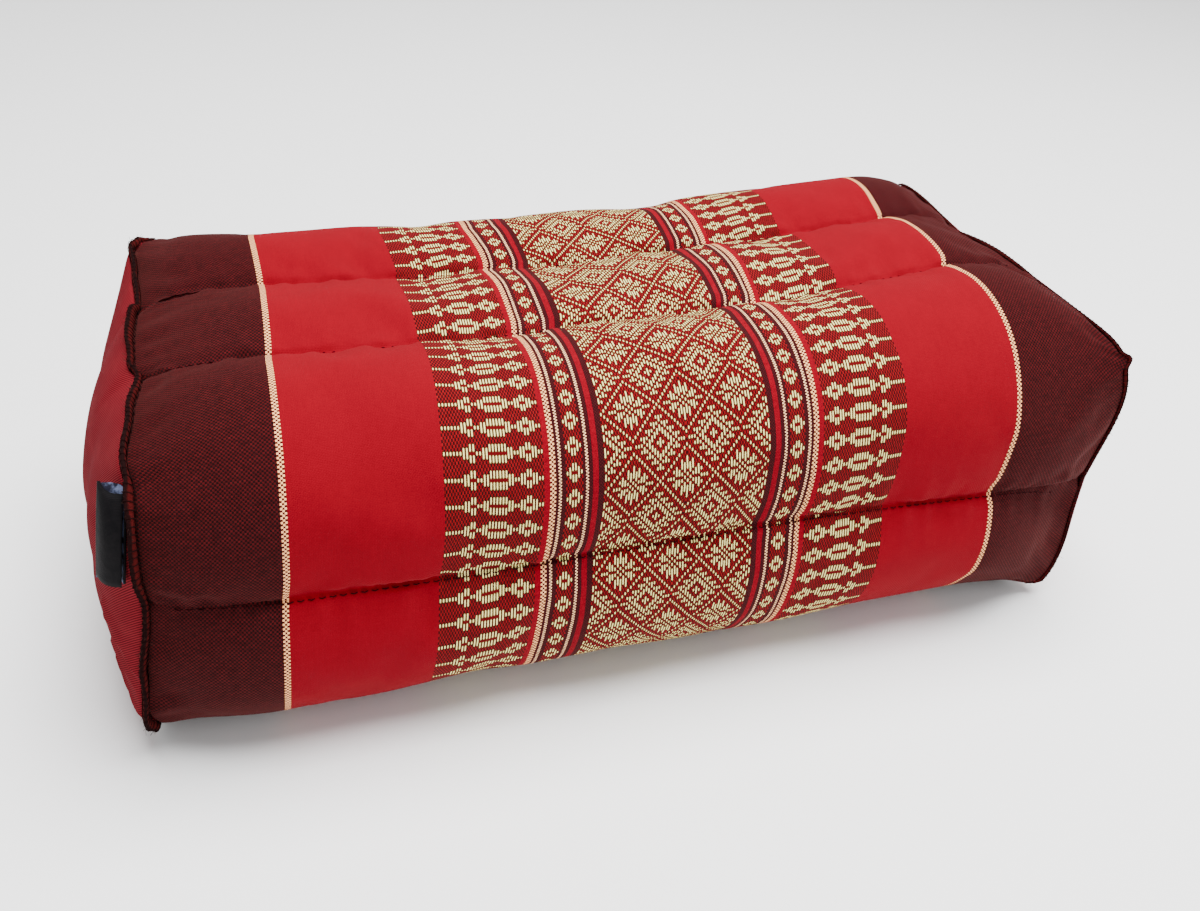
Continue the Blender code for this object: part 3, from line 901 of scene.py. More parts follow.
def end_finish():
    """Crimson cloth with fine slanting lines, rubbed paler over its bulge."""
    look = bpy.context.scene.cushion_ends
    finish = Finish("end_twill", roughness=0.95, specular=0.02)
    x, y, z = finish.object_place()
    pitch = look.thread_pitch / MM
    slant = ((y + z) / pitch).fraction()
    line = abs(slant - 0.5) * 2
    thread = finish.noise(finish.vector(y / THREAD_SIZE[0], z / THREAD_SIZE[1], 0.0), detail=1.0)
    streak = finish.noise(finish.vector(y / STREAK_SIZE[0], z / STREAK_SIZE[1], 5.0), detail=3.0)
    colour = finish.blend(line.between(*LINE_EDGE), look.crimson_shade, look.crimson)
    colour = finish.blend(streak.between(*STREAK_EDGE) * STREAK_SHARE, colour, look.rose)
    finish.colour(finish.shaded(colour, END_DARKEST + thread * END_SPREAD))
    finish.relief(line * 0.05 + thread * 0.03)
    return finish.material


# The edge: where its cut cloth begins and ends between foot and top, and how much fuzz and wear move that
CUT_START = (0.1, 0.26)
CUT_END = (0.76, 0.94)
FUZZ_SHIFT = 0.45
WORN_SHIFT = 0.3
FUZZ_SPREAD = 0.5


def edge_finish():
    """Dark overlocking and painted fold shade over cut cloth edges. The cloth shows between the threads along
    the top.
    """
    look = bpy.context.scene.cushion_edges
    finish = Finish("edge_cloth", roughness=0.95, specular=0.03)
    place = finish.vector(*finish.object_place())
    up = finish.cloth_place("edge")[1]
    fuzz = finish.noise(place, scale=1.4, detail=4.0, roughness=0.7)
    worn = finish.noise(place, scale=0.12)
    level = up + (fuzz - 0.5) * FUZZ_SHIFT + (worn - 0.5) * WORN_SHIFT
    # The dark at the foot and the top is the overlock thread's colour, and also painted shade in the folds
    # there
    middle = level.between(*CUT_START) * (1 - level.between(*CUT_END))
    colour = finish.blend(middle, look.thread, look.cloth_edge)
    finish.colour(finish.varied(colour, fuzz, FUZZ_SPREAD))
    finish.relief(fuzz * 0.6)
    return finish.material


def thread_finish(name, colour, spread=0.4):
    """Spun thread that varies a little along its length."""
    finish = Finish(name, roughness=0.95, specular=0.03)
    twist = finish.noise(finish.vector(*finish.object_place()), scale=2.3)
    finish.colour(finish.varied(finish.plain(colour), twist, spread))
    finish.relief(twist * 0.12)
    return finish.material


RIB_PITCH = 0.35


def ribbon_finish(name, colour, shade, roughness):
    """Close satin ribbon with fine ribs across it."""
    finish = Finish(name, roughness=roughness, specular=0.06)
    x, y, z = finish.object_place()
    rib = (z * (2 * pi / RIB_PITCH)).sine()
    crumple = finish.noise(finish.vector(x, y, z), scale=0.35, detail=3.0)
    # Painted shade: darker in the hollows of the crumples, where the relief below sinks in
    base = finish.blend(crumple.between(0.4, 0.6), shade, colour)
    finish.colour(finish.shaded(base, 0.96 + rib * 0.04))
    finish.relief(rib * 0.02 + crumple * 0.25)
    return finish.material


def floor_finish():
    look = bpy.context.scene.cushion_stage
    finish = Finish("pale_floor", roughness=0.6, specular=0.2)
    cloud = finish.noise(finish.vector(*finish.object_place()), scale=0.004)
    finish.colour(finish.shaded(finish.plain(look.floor), 0.99 + cloud * 0.01))
    return finish.material


def grid(columns, rows, place, maps=None, bm=None):
    """A bmesh grid with its vertices at place[column][row], in mm, and with named UV maps of that form."""
    bm = bm or bmesh.new()
    made = bmesh.ops.create_grid(bm, x_segments=columns, y_segments=rows, size=1.0)["verts"]
    spots = {
        vert: (round((vert.co.x + 1) / 2 * columns), round((vert.co.y + 1) / 2 * rows)) for vert in made
    }
    for name, uvs in (maps or {}).items():
        layer = bm.loops.layers.uv.new(name)
        for face in bm.faces:
            for loop in face.loops:
                column, row = spots[loop.vert]
                loop[layer].uv = uvs[column][row]
    for vert, (column, row) in spots.items():
        vert.co = Vector(place[column][row]) * MM
    return bm


def add_object(name, data):
    made = bpy.data.objects.new(name, data)
    bpy.context.scene.collection.objects.link(made)
    return made


def mesh_object(name, bm):
    mesh = bpy.data.meshes.new(name)
    bm.to_mesh(mesh)
    bm.free()
    return add_object(name, mesh)


def make_piece(name, bm, materials, replaced):
    """Makes a piece of a mesh, which then stands for the solid that it replaces, if any."""
    made = mesh_object(name, bm)
    made.data.shade_smooth()
    for material in materials:
        made.data.materials.append(material)
    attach(made, "root")
    if replaced:
        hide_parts(replaced)
    return made


def closed_piece(name, bm, material, replaced):
    """The same for a closed form, once it is welded and faces outwards."""
    bmesh.ops.remove_doubles(bm, verts=bm.verts, dist=WELD)
    bmesh.ops.recalc_face_normals(bm, faces=bm.faces)
    return make_piece(name, bm, [material], replaced)


def thicken(made, name, thickness):
    """Gives a sheet its thickness, inwards from its face."""
    wall = made.modifiers.new(name, "SOLIDIFY")
    wall.thickness = thickness
    wall.offset = -1.0
    return wall


def tube_rows():
    """For each tube, its first point's number round the sleeve and its last point's."""
    bounds, start = [], 0
    for tube in TUBES:
        bounds.append((start, start + tube.fine))
        start += tube.fine + 1
    return bounds


def surface_normals(place):
    """Unit normals of the sleeve's points, facing away from its middle."""
    along = np.gradient(place, axis=0)
    bounds = tube_rows()
    tubes = [place[:, first:last + 1] for first, last in bounds]
    around = np.concatenate([np.gradient(tube, axis=1) for tube in tubes], axis=1)
    normals = np.cross(along, around)
    normals /= np.linalg.norm(normals, axis=2, keepdims=True)
    for (first, last), (following, beyond) in zip(bounds, bounds[1:] + bounds[:1]):
        shared = normals[:, last] + normals[:, following]
        normals[:, last] = normals[:, following] = shared / np.linalg.norm(shared, axis=1, keepdims=True)
    outwards = place - place.mean(axis=1, keepdims=True)
    return normals if (normals * outwards).sum() > 0 else -normals


def wander(x, lengths, phase):
    """An uneven wave along x, from about -1 to 1, made of waves of several lengths."""
    waves = [np.sin(2 * pi * x / length + phase * (number + 1.7)) for number, length in enumerate(lengths)]
    return sum(waves) / sqrt(len(lengths))


def threads_at(x):
    """How many warp threads lie between the middle and places along X."""
    reach = np.interp(np.abs(x), [gauge.reach for gauge in GAUGES], [gauge.threads for gauge in GAUGES])
    return np.sign(x) * reach


def stripe_pull(x, round_place):
    """How many threads the stripes run aside at places along X and round the sleeve."""
    places = [pull.place for pull in PULLS]
    columns = np.array([np.interp(x, PULL_PLACES, pull.shifts) for pull in PULLS])
    return np.array([np.interp(place, places, shifts) for place, shifts in zip(round_place, columns.T)])


SLEEVE_STEPS = 240


def sleeve_places():
    """The sleeve's places along X, and its points without their fine relief."""
    shares = np.linspace(-1.0, 1.0, SLEEVE_STEPS + 1)
    place = np.zeros((len(shares), len(SLEEVE_SPOTS), 3))
    seam_outs = {side: [seam_stop(side, *spot)[0] for spot in SLEEVE_SPOTS] for side in (-1, 1)}
    for column, along in enumerate(shares):
        channels = channel_spots(min(1.0, abs(along) / WAIST_END))
        for row, (index, share) in enumerate(SLEEVE_SPOTS):
            spot = sleeve_spot(along, channels, index, share)
            side = -1 if along < 0 else 1
            out = seam_outs[side][row] * exp((abs(along) - 1) * HALF_LENGTH / SWELL_FADE)
            place[column, row] = settle(along * HALF_LENGTH + side * out, spot.x, spot.y)
    return shares * HALF_LENGTH, place


def around_lengths(place):
    """Distance round each tube from its first channel, and the whole way round it."""
    steps = np.linalg.norm(np.diff(place, axis=1), axis=2)
    gone, whole = np.zeros((2, *place.shape[:2]))
    for first, last in tube_rows():
        run = np.cumsum(steps[:, first:last], axis=1)
        gone[:, first + 1:last + 1] = run
        whole[:, first:last + 1] = run[:, -1:]
    return gone, whole


# Beside the channels: how wide the pulled-in cloth is, where its puckers start, how wide and how long they
# are, how far they go the other way, the distance between two pulls and how much the pulls vary
PULL_REACH = 1.1
PUCKER_START = 1.6
PUCKER_REACH = 7.0
PUCKER_LENGTHS = (8.3, 12.7, 19.0)
PUCKER_LOWEST = -0.3
PULL_PITCH = 4.0
PULL_CHANGE = 0.2
# At the ends: how long the gathers are that both ends share and those that mirror, how high they are, how
# far they reach along the sleeve, how far from the seam they start, and the way round the sleeve
GATHER_LENGTHS = (9.0, 14.3, 21.0)
SIDE_GATHER_LENGTHS = (11.0, 17.0)
GATHER_HEIGHT = 0.5
GATHER_REACH = 9.0
GATHER_START = 2.0
ROUND_LENGTH = 560.0


def channel_relief(x, gone, whole, look):
    """How far the cloth stands proud. The stitches pull it in, and it puckers there and at both ends."""
    relief = np.zeros(gone.shape)
    for row, (number, share) in enumerate(SLEEVE_SPOTS):
        for near, distance in ((number, gone[:, row]), (number + 1, whole[:, row] - gone[:, row])):
            side = 0.9 if near == number else 2.3
            waves = wander(x, PUCKER_LENGTHS, near % len(TUBES) * 1.3 + side)
            pull = bell(distance, PULL_REACH)
            pull = pull * (1 - PULL_CHANGE + PULL_CHANGE * np.cos(2 * pi * x / PULL_PITCH))
            swell = np.exp(-distance / PUCKER_REACH) * (1 - bell(distance, PUCKER_START))
            swell = swell * np.maximum(waves, PUCKER_LOWEST)
            relief[:, row] += look.pucker_height / MM * swell * 2 - look.groove_depth / MM * pull
    inwards = HALF_LENGTH - np.abs(x)
    turns = np.linspace(0.0, 1.0, len(SLEEVE_SPOTS))[None, :] * ROUND_LENGTH
    gathers = wander(turns, GATHER_LENGTHS, 1.1)
    gathers = gathers + wander(turns, SIDE_GATHER_LENGTHS, 4.0) * np.sign(x)[:, None]
    fading = np.exp(-inwards / GATHER_REACH)[:, None]
    relief += fading * gathers * GATHER_HEIGHT * (1 - np.exp(-inwards / GATHER_START))[:, None]
    return relief


# The simulated cloth: every so many of the sleeve's steps along it and round it, how far inside the sleeve
# it starts in mm, how much longer than that it is, how far in mm a point may end up from the sleeve, how
# often the result is smoothed along the sleeve, how many frames it runs, and its cloth settings
STUFFING_COLUMNS = 4
STUFFING_ROWS = 2
STUFFING_INSET = 1.0
STUFFING_SLACK = 0.008
STUFFING_CAP = 1.6
STUFFING_SMOOTHINGS = 3
STUFFING_FRAMES = 20
STUFFING_CLOTH = {
    "quality": 6,
    "mass": 0.15,
    "tension_stiffness": 15.0,
    "compression_stiffness": 15.0,
    "shear_stiffness": 5.0,
    "bending_stiffness": 0.5,
    "shrink_min": -STUFFING_SLACK,
    "use_pressure": True,
    "uniform_pressure_force": 4.0,
}


def stuffing_weights():
    """The sleeve's rows that the simulated cloth has, and 1 for each of its points that is sewn down."""
    rows = [row for first, last in tube_rows() for row in range(first, last, STUFFING_ROWS)]
    rows.append(tube_rows()[-1][1])
    columns = SLEEVE_STEPS // STUFFING_COLUMNS
    sewn = np.zeros((columns + 1, len(rows)))
    sewn[[0, -1]] = 1.0
    channels = {first for first, last in tube_rows()} | {rows[-1]}
    sewn[:, [number for number, row in enumerate(rows) if row in channels]] = 1.0
    return rows, sewn


def simulate_stuffing(start, sewn):
    """Blows a sewn-down cloth out with pressure and gives its points' places in mm."""
    columns, rows = sewn.shape
    bm = grid(columns - 1, rows - 1, start)
    bmesh.ops.reverse_faces(bm, faces=bm.faces)
    cloth_object = mesh_object("stuffing", bm)
    scene = bpy.context.scene
    sewn_down = cloth_object.vertex_groups.new(name="sewn down")
    order = [(number % columns, number // columns) for number in range(columns * rows)]
    sewn_down.add([number for number, spot in enumerate(order) if sewn[spot]], 1.0, "REPLACE")
    modifier = cloth_object.modifiers.new("stuffing", "CLOTH")
    for setting, value in STUFFING_CLOTH.items():
        setattr(modifier.settings, setting, value)
    modifier.settings.vertex_group_mass = sewn_down.name
    modifier.settings.effector_weights.gravity = 0.0
    modifier.point_cache.frame_end = STUFFING_FRAMES
    for frame in range(1, STUFFING_FRAMES + 1):
        scene.frame_set(frame)
    blown = cloth_object.evaluated_get(bpy.context.evaluated_depsgraph_get()).data
    place = np.zeros((columns, rows, 3))
    for vert, spot in zip(blown.vertices, order):
        place[spot] = np.array(vert.co) / MM
    mesh = cloth_object.data
    bpy.data.objects.remove(cloth_object)
    bpy.data.meshes.remove(mesh)
    scene.frame_set(1)
    return place


def spread(values, spots, count):
    """Values given at some spots along their first axis, filled in for all of its count steps."""
    flat = values.reshape(values.shape[0], -1)
    full = np.array([np.interp(np.arange(count), spots, line) for line in flat.T]).T
    return full.reshape(count, *values.shape[1:])


def stuffing_shift(place, normals):
    """How far the stuffing moves each of the sleeve's points, from a simulation of a coarser sleeve."""
    rows, sewn = stuffing_weights()
    coarse = place[::STUFFING_COLUMNS][:, rows]
    free = (1 - sewn)[:, :, None]
    start = coarse - normals[::STUFFING_COLUMNS][:, rows] * STUFFING_INSET * free
    moved = simulate_stuffing(start, sewn) - coarse
    far = np.linalg.norm(moved, axis=2, keepdims=True)
    moved *= np.minimum(1.0, STUFFING_CAP / np.maximum(far, 1e-6))
    columns = np.arange(0, place.shape[0], STUFFING_COLUMNS)
    wide = spread(moved, columns, place.shape[0])
    shift = spread(wide.transpose(1, 0, 2), rows, place.shape[1]).transpose(1, 0, 2)
    for turn in range(STUFFING_SMOOTHINGS):
        shift[1:-1] = (shift[:-2] + 2 * shift[1:-1] + shift[2:]) / 4
    shift[:, 1:-1] = (shift[:, :-2] + 2 * shift[:, 1:-1] + shift[:, 2:]) / 4
    shift[:, [row for pair in tube_rows() for row in pair]] = 0.0
    return shift


class CUSHION_OT_sleeve(bpy.types.Operator):
    """Makes the stuffed sleeve with its sewn channels"""

    bl_idname = "cushion.sleeve"
    bl_label = "Stuffed sleeve"

    def execute(self, context):
        look = context.scene.cushion_sleeve
        x, place = sleeve_places()
        place = place + stuffing_shift(place, surface_normals(place))
        gone, whole = around_lengths(place)
        relief = channel_relief(x, gone, whole, look)
        place = place + surface_normals(place) * relief[:, :, None]
        place[:, -1] = place[:, 0]
        place[:, :, 2] = np.maximum(place[:, :, 2], 0.0)
        bm = grid(len(x) - 1, len(SLEEVE_SPOTS) - 1, place, self.woven_maps(x, gone, whole))
        bmesh.ops.remove_doubles(bm, verts=bm.verts, dist=WELD)
        close_ends(bm)
        made = closed_piece("sleeve", bm, sleeve_finish(), "cushion_body")
        made.data.set_sharp_from_angle(angle=SHARP_ANGLE)
        return {"FINISHED"}

    @staticmethod
    def woven_maps(x, gone, whole):
        """UV maps that count the warp threads from the middle and the rows round the sleeve."""
        threads, rows, motif_rows = np.zeros((3, *gone.shape))
        for row, (number, solid_share) in enumerate(SLEEVE_SPOTS):
            tube = TUBES[number]
            share = gone[:, row] / whole[:, row]
            counted = share + tube.crowd * share * (1 - share)
            rows[:, row] = tube.first_row + counted * tube.rows + tube.slant * x
            first_motif = np.interp(x, MOTIF_PLACES, MOTIF_ROWS[tube.name])
            motif_rows[:, row] = first_motif + counted * tube.motif_rows
            threads[:, row] = threads_at(x) - stripe_pull(x, number + share)
        return {"cloth": np.dstack([threads, rows]), "motifs": np.dstack([threads, motif_rows])}


# The stuffing's own domes: their rings, and how much lower than the end cloths they are in the middle
INNER_RINGS = (0.97, 0.93, 0.88, 0.8, 0.55, 0.3, 0.1)
INNER_DEPTH = 3.5


def close_ends(bm):
    """The stuffing's own domes, which the end cloths cover."""
    for side in (-1, 1):
        ring = [edge for edge in bm.edges if edge.is_boundary and edge.verts[0].co.x * side > 0]
        rim = {vert: vert.co.copy() for edge in ring for vert in edge.verts}
        origin = {vert: vert for vert in rim}
        centre = settle(side * HALF_LENGTH, 0.0, PANEL_CENTRE_Z) * MM
        for share in INNER_RINGS:
            grown = bmesh.ops.extrude_edge_only(bm, edges=ring)["geom"]
            ring = [item for item in grown if isinstance(item, bmesh.types.BMEdge) and item.is_boundary]
            following = {}
            for vert in {vert for edge in ring for vert in edge.verts}:
                joined = [edge.other_vert(vert) for edge in vert.link_edges]
                parent = next(other for other in joined if other in origin)
                following[vert] = origin[parent]
                away = rim[origin[parent]] - centre
                dome = side * (dome_height(share) - INNER_DEPTH * (1 - share ** 12)) * MM
                flat = dome_spot(away.yz / MM, share) * MM
                vert.co = centre + Vector((away.x * share ** SHIFT_FADE + dome, flat.x, flat.y))
            origin = following
        bmesh.ops.holes_fill(bm, edges=ring, sides=0)


# The end cloths' rings and the last one's share of the way out. Then, in metres, how near to the middle that
# one is and how thick the cloths are
END_RINGS = 56
LAST_RING = 0.004
MIDDLE_REACH = 0.01
CLOTH_THICKNESS = 0.001
# Creases in the end cloths: where they start and end in Y and Z, how deep and how wide they are. One with a
# depth below nothing stands up
Crease = namedtuple("Crease", "start end depth reach")
END_CREASES = {
    -1: (
        Crease(Vector((-74.0, 40.0)), Vector((-54.0, 52.0)), -1.3, 1.5),
        Crease(Vector((-73.0, 31.0)), Vector((-56.0, 39.0)), -1.0, 1.3),
        Crease(Vector((-71.0, 20.0)), Vector((-50.0, 27.0)), -1.4, 1.6),
        Crease(Vector((-70.0, 90.0)), Vector((-50.0, 80.0)), 0.5, 3.0),
    ),
    1: (
        Crease(Vector((-70.0, 92.0)), Vector((-52.0, 80.0)), 0.8, 2.2),
        Crease(Vector((-66.0, 20.0)), Vector((-46.0, 28.0)), 0.8, 2.0),
        Crease(Vector((66.0, 90.0)), Vector((50.0, 78.0)), 0.8, 2.2),
    ),
}


def line_distance(spot, start, end):
    """Distance from a flat point to the straight piece from start to end."""
    along = end - start
    share = max(0.0, min(1.0, (spot - start).dot(along) / along.length_squared))
    return (spot - start - along * share).length


class CUSHION_OT_end_cloths(bpy.types.Operator):
    """Makes the crimson cloth over each end"""

    bl_idname = "cushion.end_cloths"
    bl_label = "End cloths"

    def execute(self, context):
        material = end_finish()
        for side, name in ((-1, "left"), (1, "right")):
            spots = AROUND_SPOTS + [AROUND_SPOTS[0]]
            shares = [1.0 - ring / END_RINGS for ring in range(END_RINGS)] + [LAST_RING]
            place = [[self.spot(side, spot, share) for spot in spots] for share in shares]
            bm = grid(len(shares) - 1, len(spots) - 1, place)
            bmesh.ops.remove_doubles(bm, verts=bm.verts, dist=WELD)
            hole = [edge for edge in bm.edges if edge.is_boundary and self.near_middle(edge, side)]
            bmesh.ops.holes_fill(bm, edges=hole, sides=0)
            bmesh.ops.recalc_face_normals(bm, faces=bm.faces)
            if sum(face.normal.x * face.calc_area() for face in bm.faces) * side < 0:
                bmesh.ops.reverse_faces(bm, faces=bm.faces)
            made = make_piece("end_cloth_" + name, bm, [material], "end_panel_" + name)
            thicken(made, "cloth thickness", CLOTH_THICKNESS)
        return {"FINISHED"}

    @staticmethod
    def near_middle(edge, side):
        centre = settle(side * HALF_LENGTH, 0.0, PANEL_CENTRE_Z) * MM
        return (edge.verts[0].co - centre).yz.length < MIDDLE_REACH

    @staticmethod
    def spot(side, seam_place, share):
        middle = Vector((0.0, PANEL_CENTRE_Z))
        spot = middle + dome_spot(end_spot(side, *seam_place) - middle, share)
        out = PANEL_GAP + PANEL_THICKNESS + (dome_height(share) - dent_depth(share, spot.x, spot.y))
        out += seam_stop(side, *seam_place)[0] * share ** SHIFT_FADE
        for crease in END_CREASES[side]:
            out -= crease.depth * exp(-((line_distance(spot, crease.start, crease.end) / crease.reach) ** 2))
        return settle(side * (HALF_LENGTH + out), spot.x, spot.y)


RIDGE_STEPS = 16
# How thick each edge is: the right one is pressed flat
EDGE_WIDTH = {-1: 1.9, 1: 1.0}
EDGE_PITCH = 0.9
FOOT_GAP = 0.1
# How much the edge's cut threads and the overlock thread vary, and the seeds of what is random
EDGE_FRAY = 0.09
THREAD_LOOSENESS = 0.06
RIDGE_SEED, OVERLOCK_SEED, FIBRE_SEED = 5, 23, 11
# How the overlock thread crosses an edge, as up and over of edge_spot
CROSSING = (
    (0.08, 1.05), (0.6, 1.05), (1.0, 0.5), (1.04, 0.0), (1.0, -0.5), (0.6, -1.05), (0.08, -1.05),
)
FIBRE_RADIUS = 0.04


# A place on an edge: its foot on the seam, the direction that it stands up in, its height, how far it leans
# outwards, and how far out of the solids' seam it lies
EdgePlace = namedtuple("EdgePlace", "side foot direction height flop out")


def edge_place(side, index, share):
    """The edge at a share of the way round tube number index."""
    point = end_spot(side, index, share)
    turn = turn_at(index, share)
    flop = SEAM_FLOP + sum(wave.flop * sin(wave.count * turn + wave.phase * side) for wave in SEAM_WAVES)
    rise = sum(wave.rise * cos(wave.count * turn + wave.phase * side) for wave in SEAM_WAVES)
    dent = SEAM_DENT * (1 - sin(pi * share)) ** 4
    out, stands = seam_stop(side, index, share)
    return EdgePlace(side, point, outward(point), (SEAM_HEIGHT + rise - dent) * stands, max(0.0, flop), out)


def edge_spot(place, up, over):
    """A point on or in the edge. up is 0 at its foot and 1 at its top, over is -1 inwards and 1 outwards."""
    spot = place.foot + place.direction * (FOOT_GAP + place.height * up)
    width = EDGE_WIDTH[place.side] * (0.5 + 0.5 * over)
    out = place.out + FOOT_GAP + width + place.flop * up * place.height / 3
    return settle(place.side * (HALF_LENGTH + out), spot.x, max(SEAM_GAP, spot.y))


class CUSHION_OT_edges(bpy.types.Operator):
    """Makes the overlocked edges that stand up round both ends, with their thread and loose fibres"""

    bl_idname = "cushion.edges"
    bl_label = "Overlocked edges"

    def execute(self, context):
        look = context.scene.cushion_edges
        cloth = edge_finish()
        thread = thread_finish("overlock_thread", look.thread)
        fibre = thread_finish("loose_fibre", look.fibre)
        for side, name in ((-1, "left"), (1, "right")):
            closed_piece("edge_" + name, self.ridge(side), cloth, "edge_seam_" + name)
            closed_piece("overlock_" + name, self.overlock(side, look), thread, None)
            closed_piece("fibres_" + name, self.fibres(side, look), fibre, None)
        return {"FINISHED"}

    def ridge(self, side):
        """The uneven folded lip that the thread holds together."""
        chance = random.Random(RIDGE_SEED + side)
        spots = self.seam_line(side, EDGE_PITCH)
        turns = [2 * pi * step / RIDGE_STEPS for step in range(RIDGE_STEPS)]
        place, marks = [], []
        for number, (index, share) in enumerate(spots):
            here = edge_place(side, index, share)
            ring = []
            for turn in turns:
                fray = 1 + chance.uniform(-EDGE_FRAY, EDGE_FRAY)
                ring.append(edge_spot(here, 0.5 + 0.5 * sin(turn) * fray, 0.85 * cos(turn) * fray))
            place.append(ring + ring[:1])
            marks.append([(number * EDGE_PITCH, 0.5 + 0.5 * sin(turn)) for turn in [*turns, 0.0]])
        place.append(place[0])
        marks.append([(len(spots) * EDGE_PITCH, up) for along, up in marks[0]])
        return grid(len(spots), RIDGE_STEPS, place, {"edge": marks})

    @staticmethod
    def seam_line(side, pitch):
        """Even steps along an end seam, each as the tube and the share of the way round it."""
        spots = AROUND_SPOTS + [(len(TUBES) - 1, 1.0)]
        points = [end_spot(side, *spot) for spot in spots]
        lengths = [0.0]
        for first, second in zip(points, points[1:]):
            lengths.append(lengths[-1] + (second - first).length)
        count = ceil(lengths[-1] / pitch)
        counted = [spot[0] + spot[1] for spot in spots]
        reached = np.interp([lengths[-1] * step / count for step in range(count)], lengths, counted)
        wholes = [min(int(value), len(TUBES) - 1) for value in reached]
        return [(whole, value - whole) for whole, value in zip(wholes, reached)]

    def overlock(self, side, look):
        """One thread that crosses the edge to and fro."""
        chance = random.Random(OVERLOCK_SEED + side)
        stitches = self.seam_line(side, look.stitch_pitch / MM / 2)
        path = []
        for number, (index, share) in enumerate(stitches):
            here = edge_place(side, index, share)
            for up, over in CROSSING if number % 2 else CROSSING[::-1]:
                loose = 1 + chance.uniform(-THREAD_LOOSENESS, THREAD_LOOSENESS)
                path.append(edge_spot(here, up * loose, over * 0.92 * loose))
        return strand(path + path[:1], look.thread_width / MM / 2, 5)

    def fibres(self, side, look):
        """Short bent hairs that stand off the edge."""
        chance = random.Random(FIBRE_SEED + side)
        bm = bmesh.new()
        spots = self.seam_line(side, 1.0)
        for hair in range(look.fibres):
            index, share = spots[chance.randrange(len(spots))]
            here = edge_place(side, index, share)
            up, over = chance.uniform(0.5, 1.0), chance.uniform(-1.0, 1.0)
            start = edge_spot(here, up, over)
            tip = edge_spot(here, up + chance.uniform(0.15, 0.5), over * chance.uniform(1.0, 2.2))
            bend = Vector([chance.uniform(-0.5, 0.5) for axis in range(3)])
            path = [start, (start + tip) / 2 + bend, tip + bend * chance.uniform(0.5, 2.5)]
            path = [Vector((spot.x, spot.y, max(spot.z, FOOT_GAP))) for spot in path]
            strand(path, FIBRE_RADIUS, 3, bm)
        return bm


def strand(path, radius, sides, bm=None):
    """A thin round thread along a path of points, in mm."""
    turns = [2 * pi * side / sides for side in range(sides)]
    circle = [Vector((radius * cos(turn), radius * sin(turn), 0.0)) for turn in turns]
    rings = []
    for number, point in enumerate(path):
        ahead = path[min(number + 1, len(path) - 1)] - path[max(number - 1, 0)]
        turn = ahead.to_track_quat("Z", "Y")
        ring = [point + turn @ spot for spot in circle]
        rings.append(ring + ring[:1])
    return grid(len(rings) - 1, sides, rings, bm=bm)


def label_loop(steps):
    """The folded ribbon seen along its edge: how far out each point lies and how far to the front."""
    points = []
    for step in range(steps + 1):
        share = step / steps
        open_share = LABEL_NECK + (1 - LABEL_NECK) * sin(pi * share ** 0.8)
        points.append((LABEL_OUTREACH * share, LABEL_HALF_OPEN * open_share * (1 - share ** 6)))
    return points + [(out, -front) for out, front in reversed(points[:-1])]


def left_front_y(height):
    """How far forward the left end seam lies at a height on its front edge."""
    front = [end_spot(-1, index, share) for index, share in AROUND_SPOTS]
    front = sorted((point.y, point.x) for point in front if point.x < LABEL_SIDE)
    return float(np.interp(height, [z for z, y in front], [y for z, y in front]))


class CUSHION_OT_label(bpy.types.Operator):
    """Makes the bare loop label at the left end"""

    bl_idname = "cushion.label"
    bl_label = "Loop label"

    def execute(self, context):
        look = context.scene.cushion_trim
        loop = label_loop(LABEL_STEPS)
        across = Vector((LABEL_DIRECTION.y, -LABEL_DIRECTION.x))
        root_x = -HALF_LENGTH - PANEL_GAP - PANEL_THICKNESS - LABEL_CLEAR + LABEL_NUDGE.x
        place = []
        for level in range(LABEL_LEVELS + 1):
            height = mix(LABEL_BOTTOM, LABEL_TOP, level / LABEL_LEVELS)
            lean = LABEL_LEAN * (height - (LABEL_BOTTOM + LABEL_TOP) / 2)
            root = Vector((root_x + lean, left_front_y(height) + LABEL_INSET + LABEL_NUDGE.y))
            ring = []
            for out, front in loop:
                spot = root + LABEL_DIRECTION * out + across * -front
                ring.append(settle(spot.x, spot.y, height + LABEL_NUDGE.z + LABEL_SLOPE * out * (front > 0)))
            place.append(ring)
        bm = grid(LABEL_LEVELS, len(loop) - 1, place)
        bmesh.ops.recalc_face_normals(bm, faces=bm.faces)
        middle = sum((vert.co for vert in bm.verts), Vector()) / len(bm.verts)
        if sum((face.calc_center_median() - middle).dot(face.normal) for face in bm.faces) < 0:
            bmesh.ops.reverse_faces(bm, faces=bm.faces)
        outside = ribbon_finish("label_ribbon_face", look.ribbon, look.ribbon_painted_shade, 0.7)
        inside = ribbon_finish("label_ribbon_back", look.lining, look.lining_painted_shade, 0.8)
        made = make_piece("loop_label", bm, [outside, inside], "side_label")
        thicken(made, "ribbon thickness", LABEL_THICKNESS * MM).material_offset = 1
        return {"FINISHED"}


# The channels' stitches: half of each one's length as a share of their pitch, how deep they lie, how much
# deeper their ends go, how far above the floor they stay, and how much of a channel's length has none
STITCH_REACH = 0.31
STITCH_DEPTH = 0.7
STITCH_DIP = 0.5
STITCH_CLEAR = 0.4
BARE_LENGTH = 12.0
# The front channel's stitches show on the lower tube, at this share of the way round it
FRONT_STITCH_SHARE = 0.008
FRONT_STITCH_DEPTH = 0.1


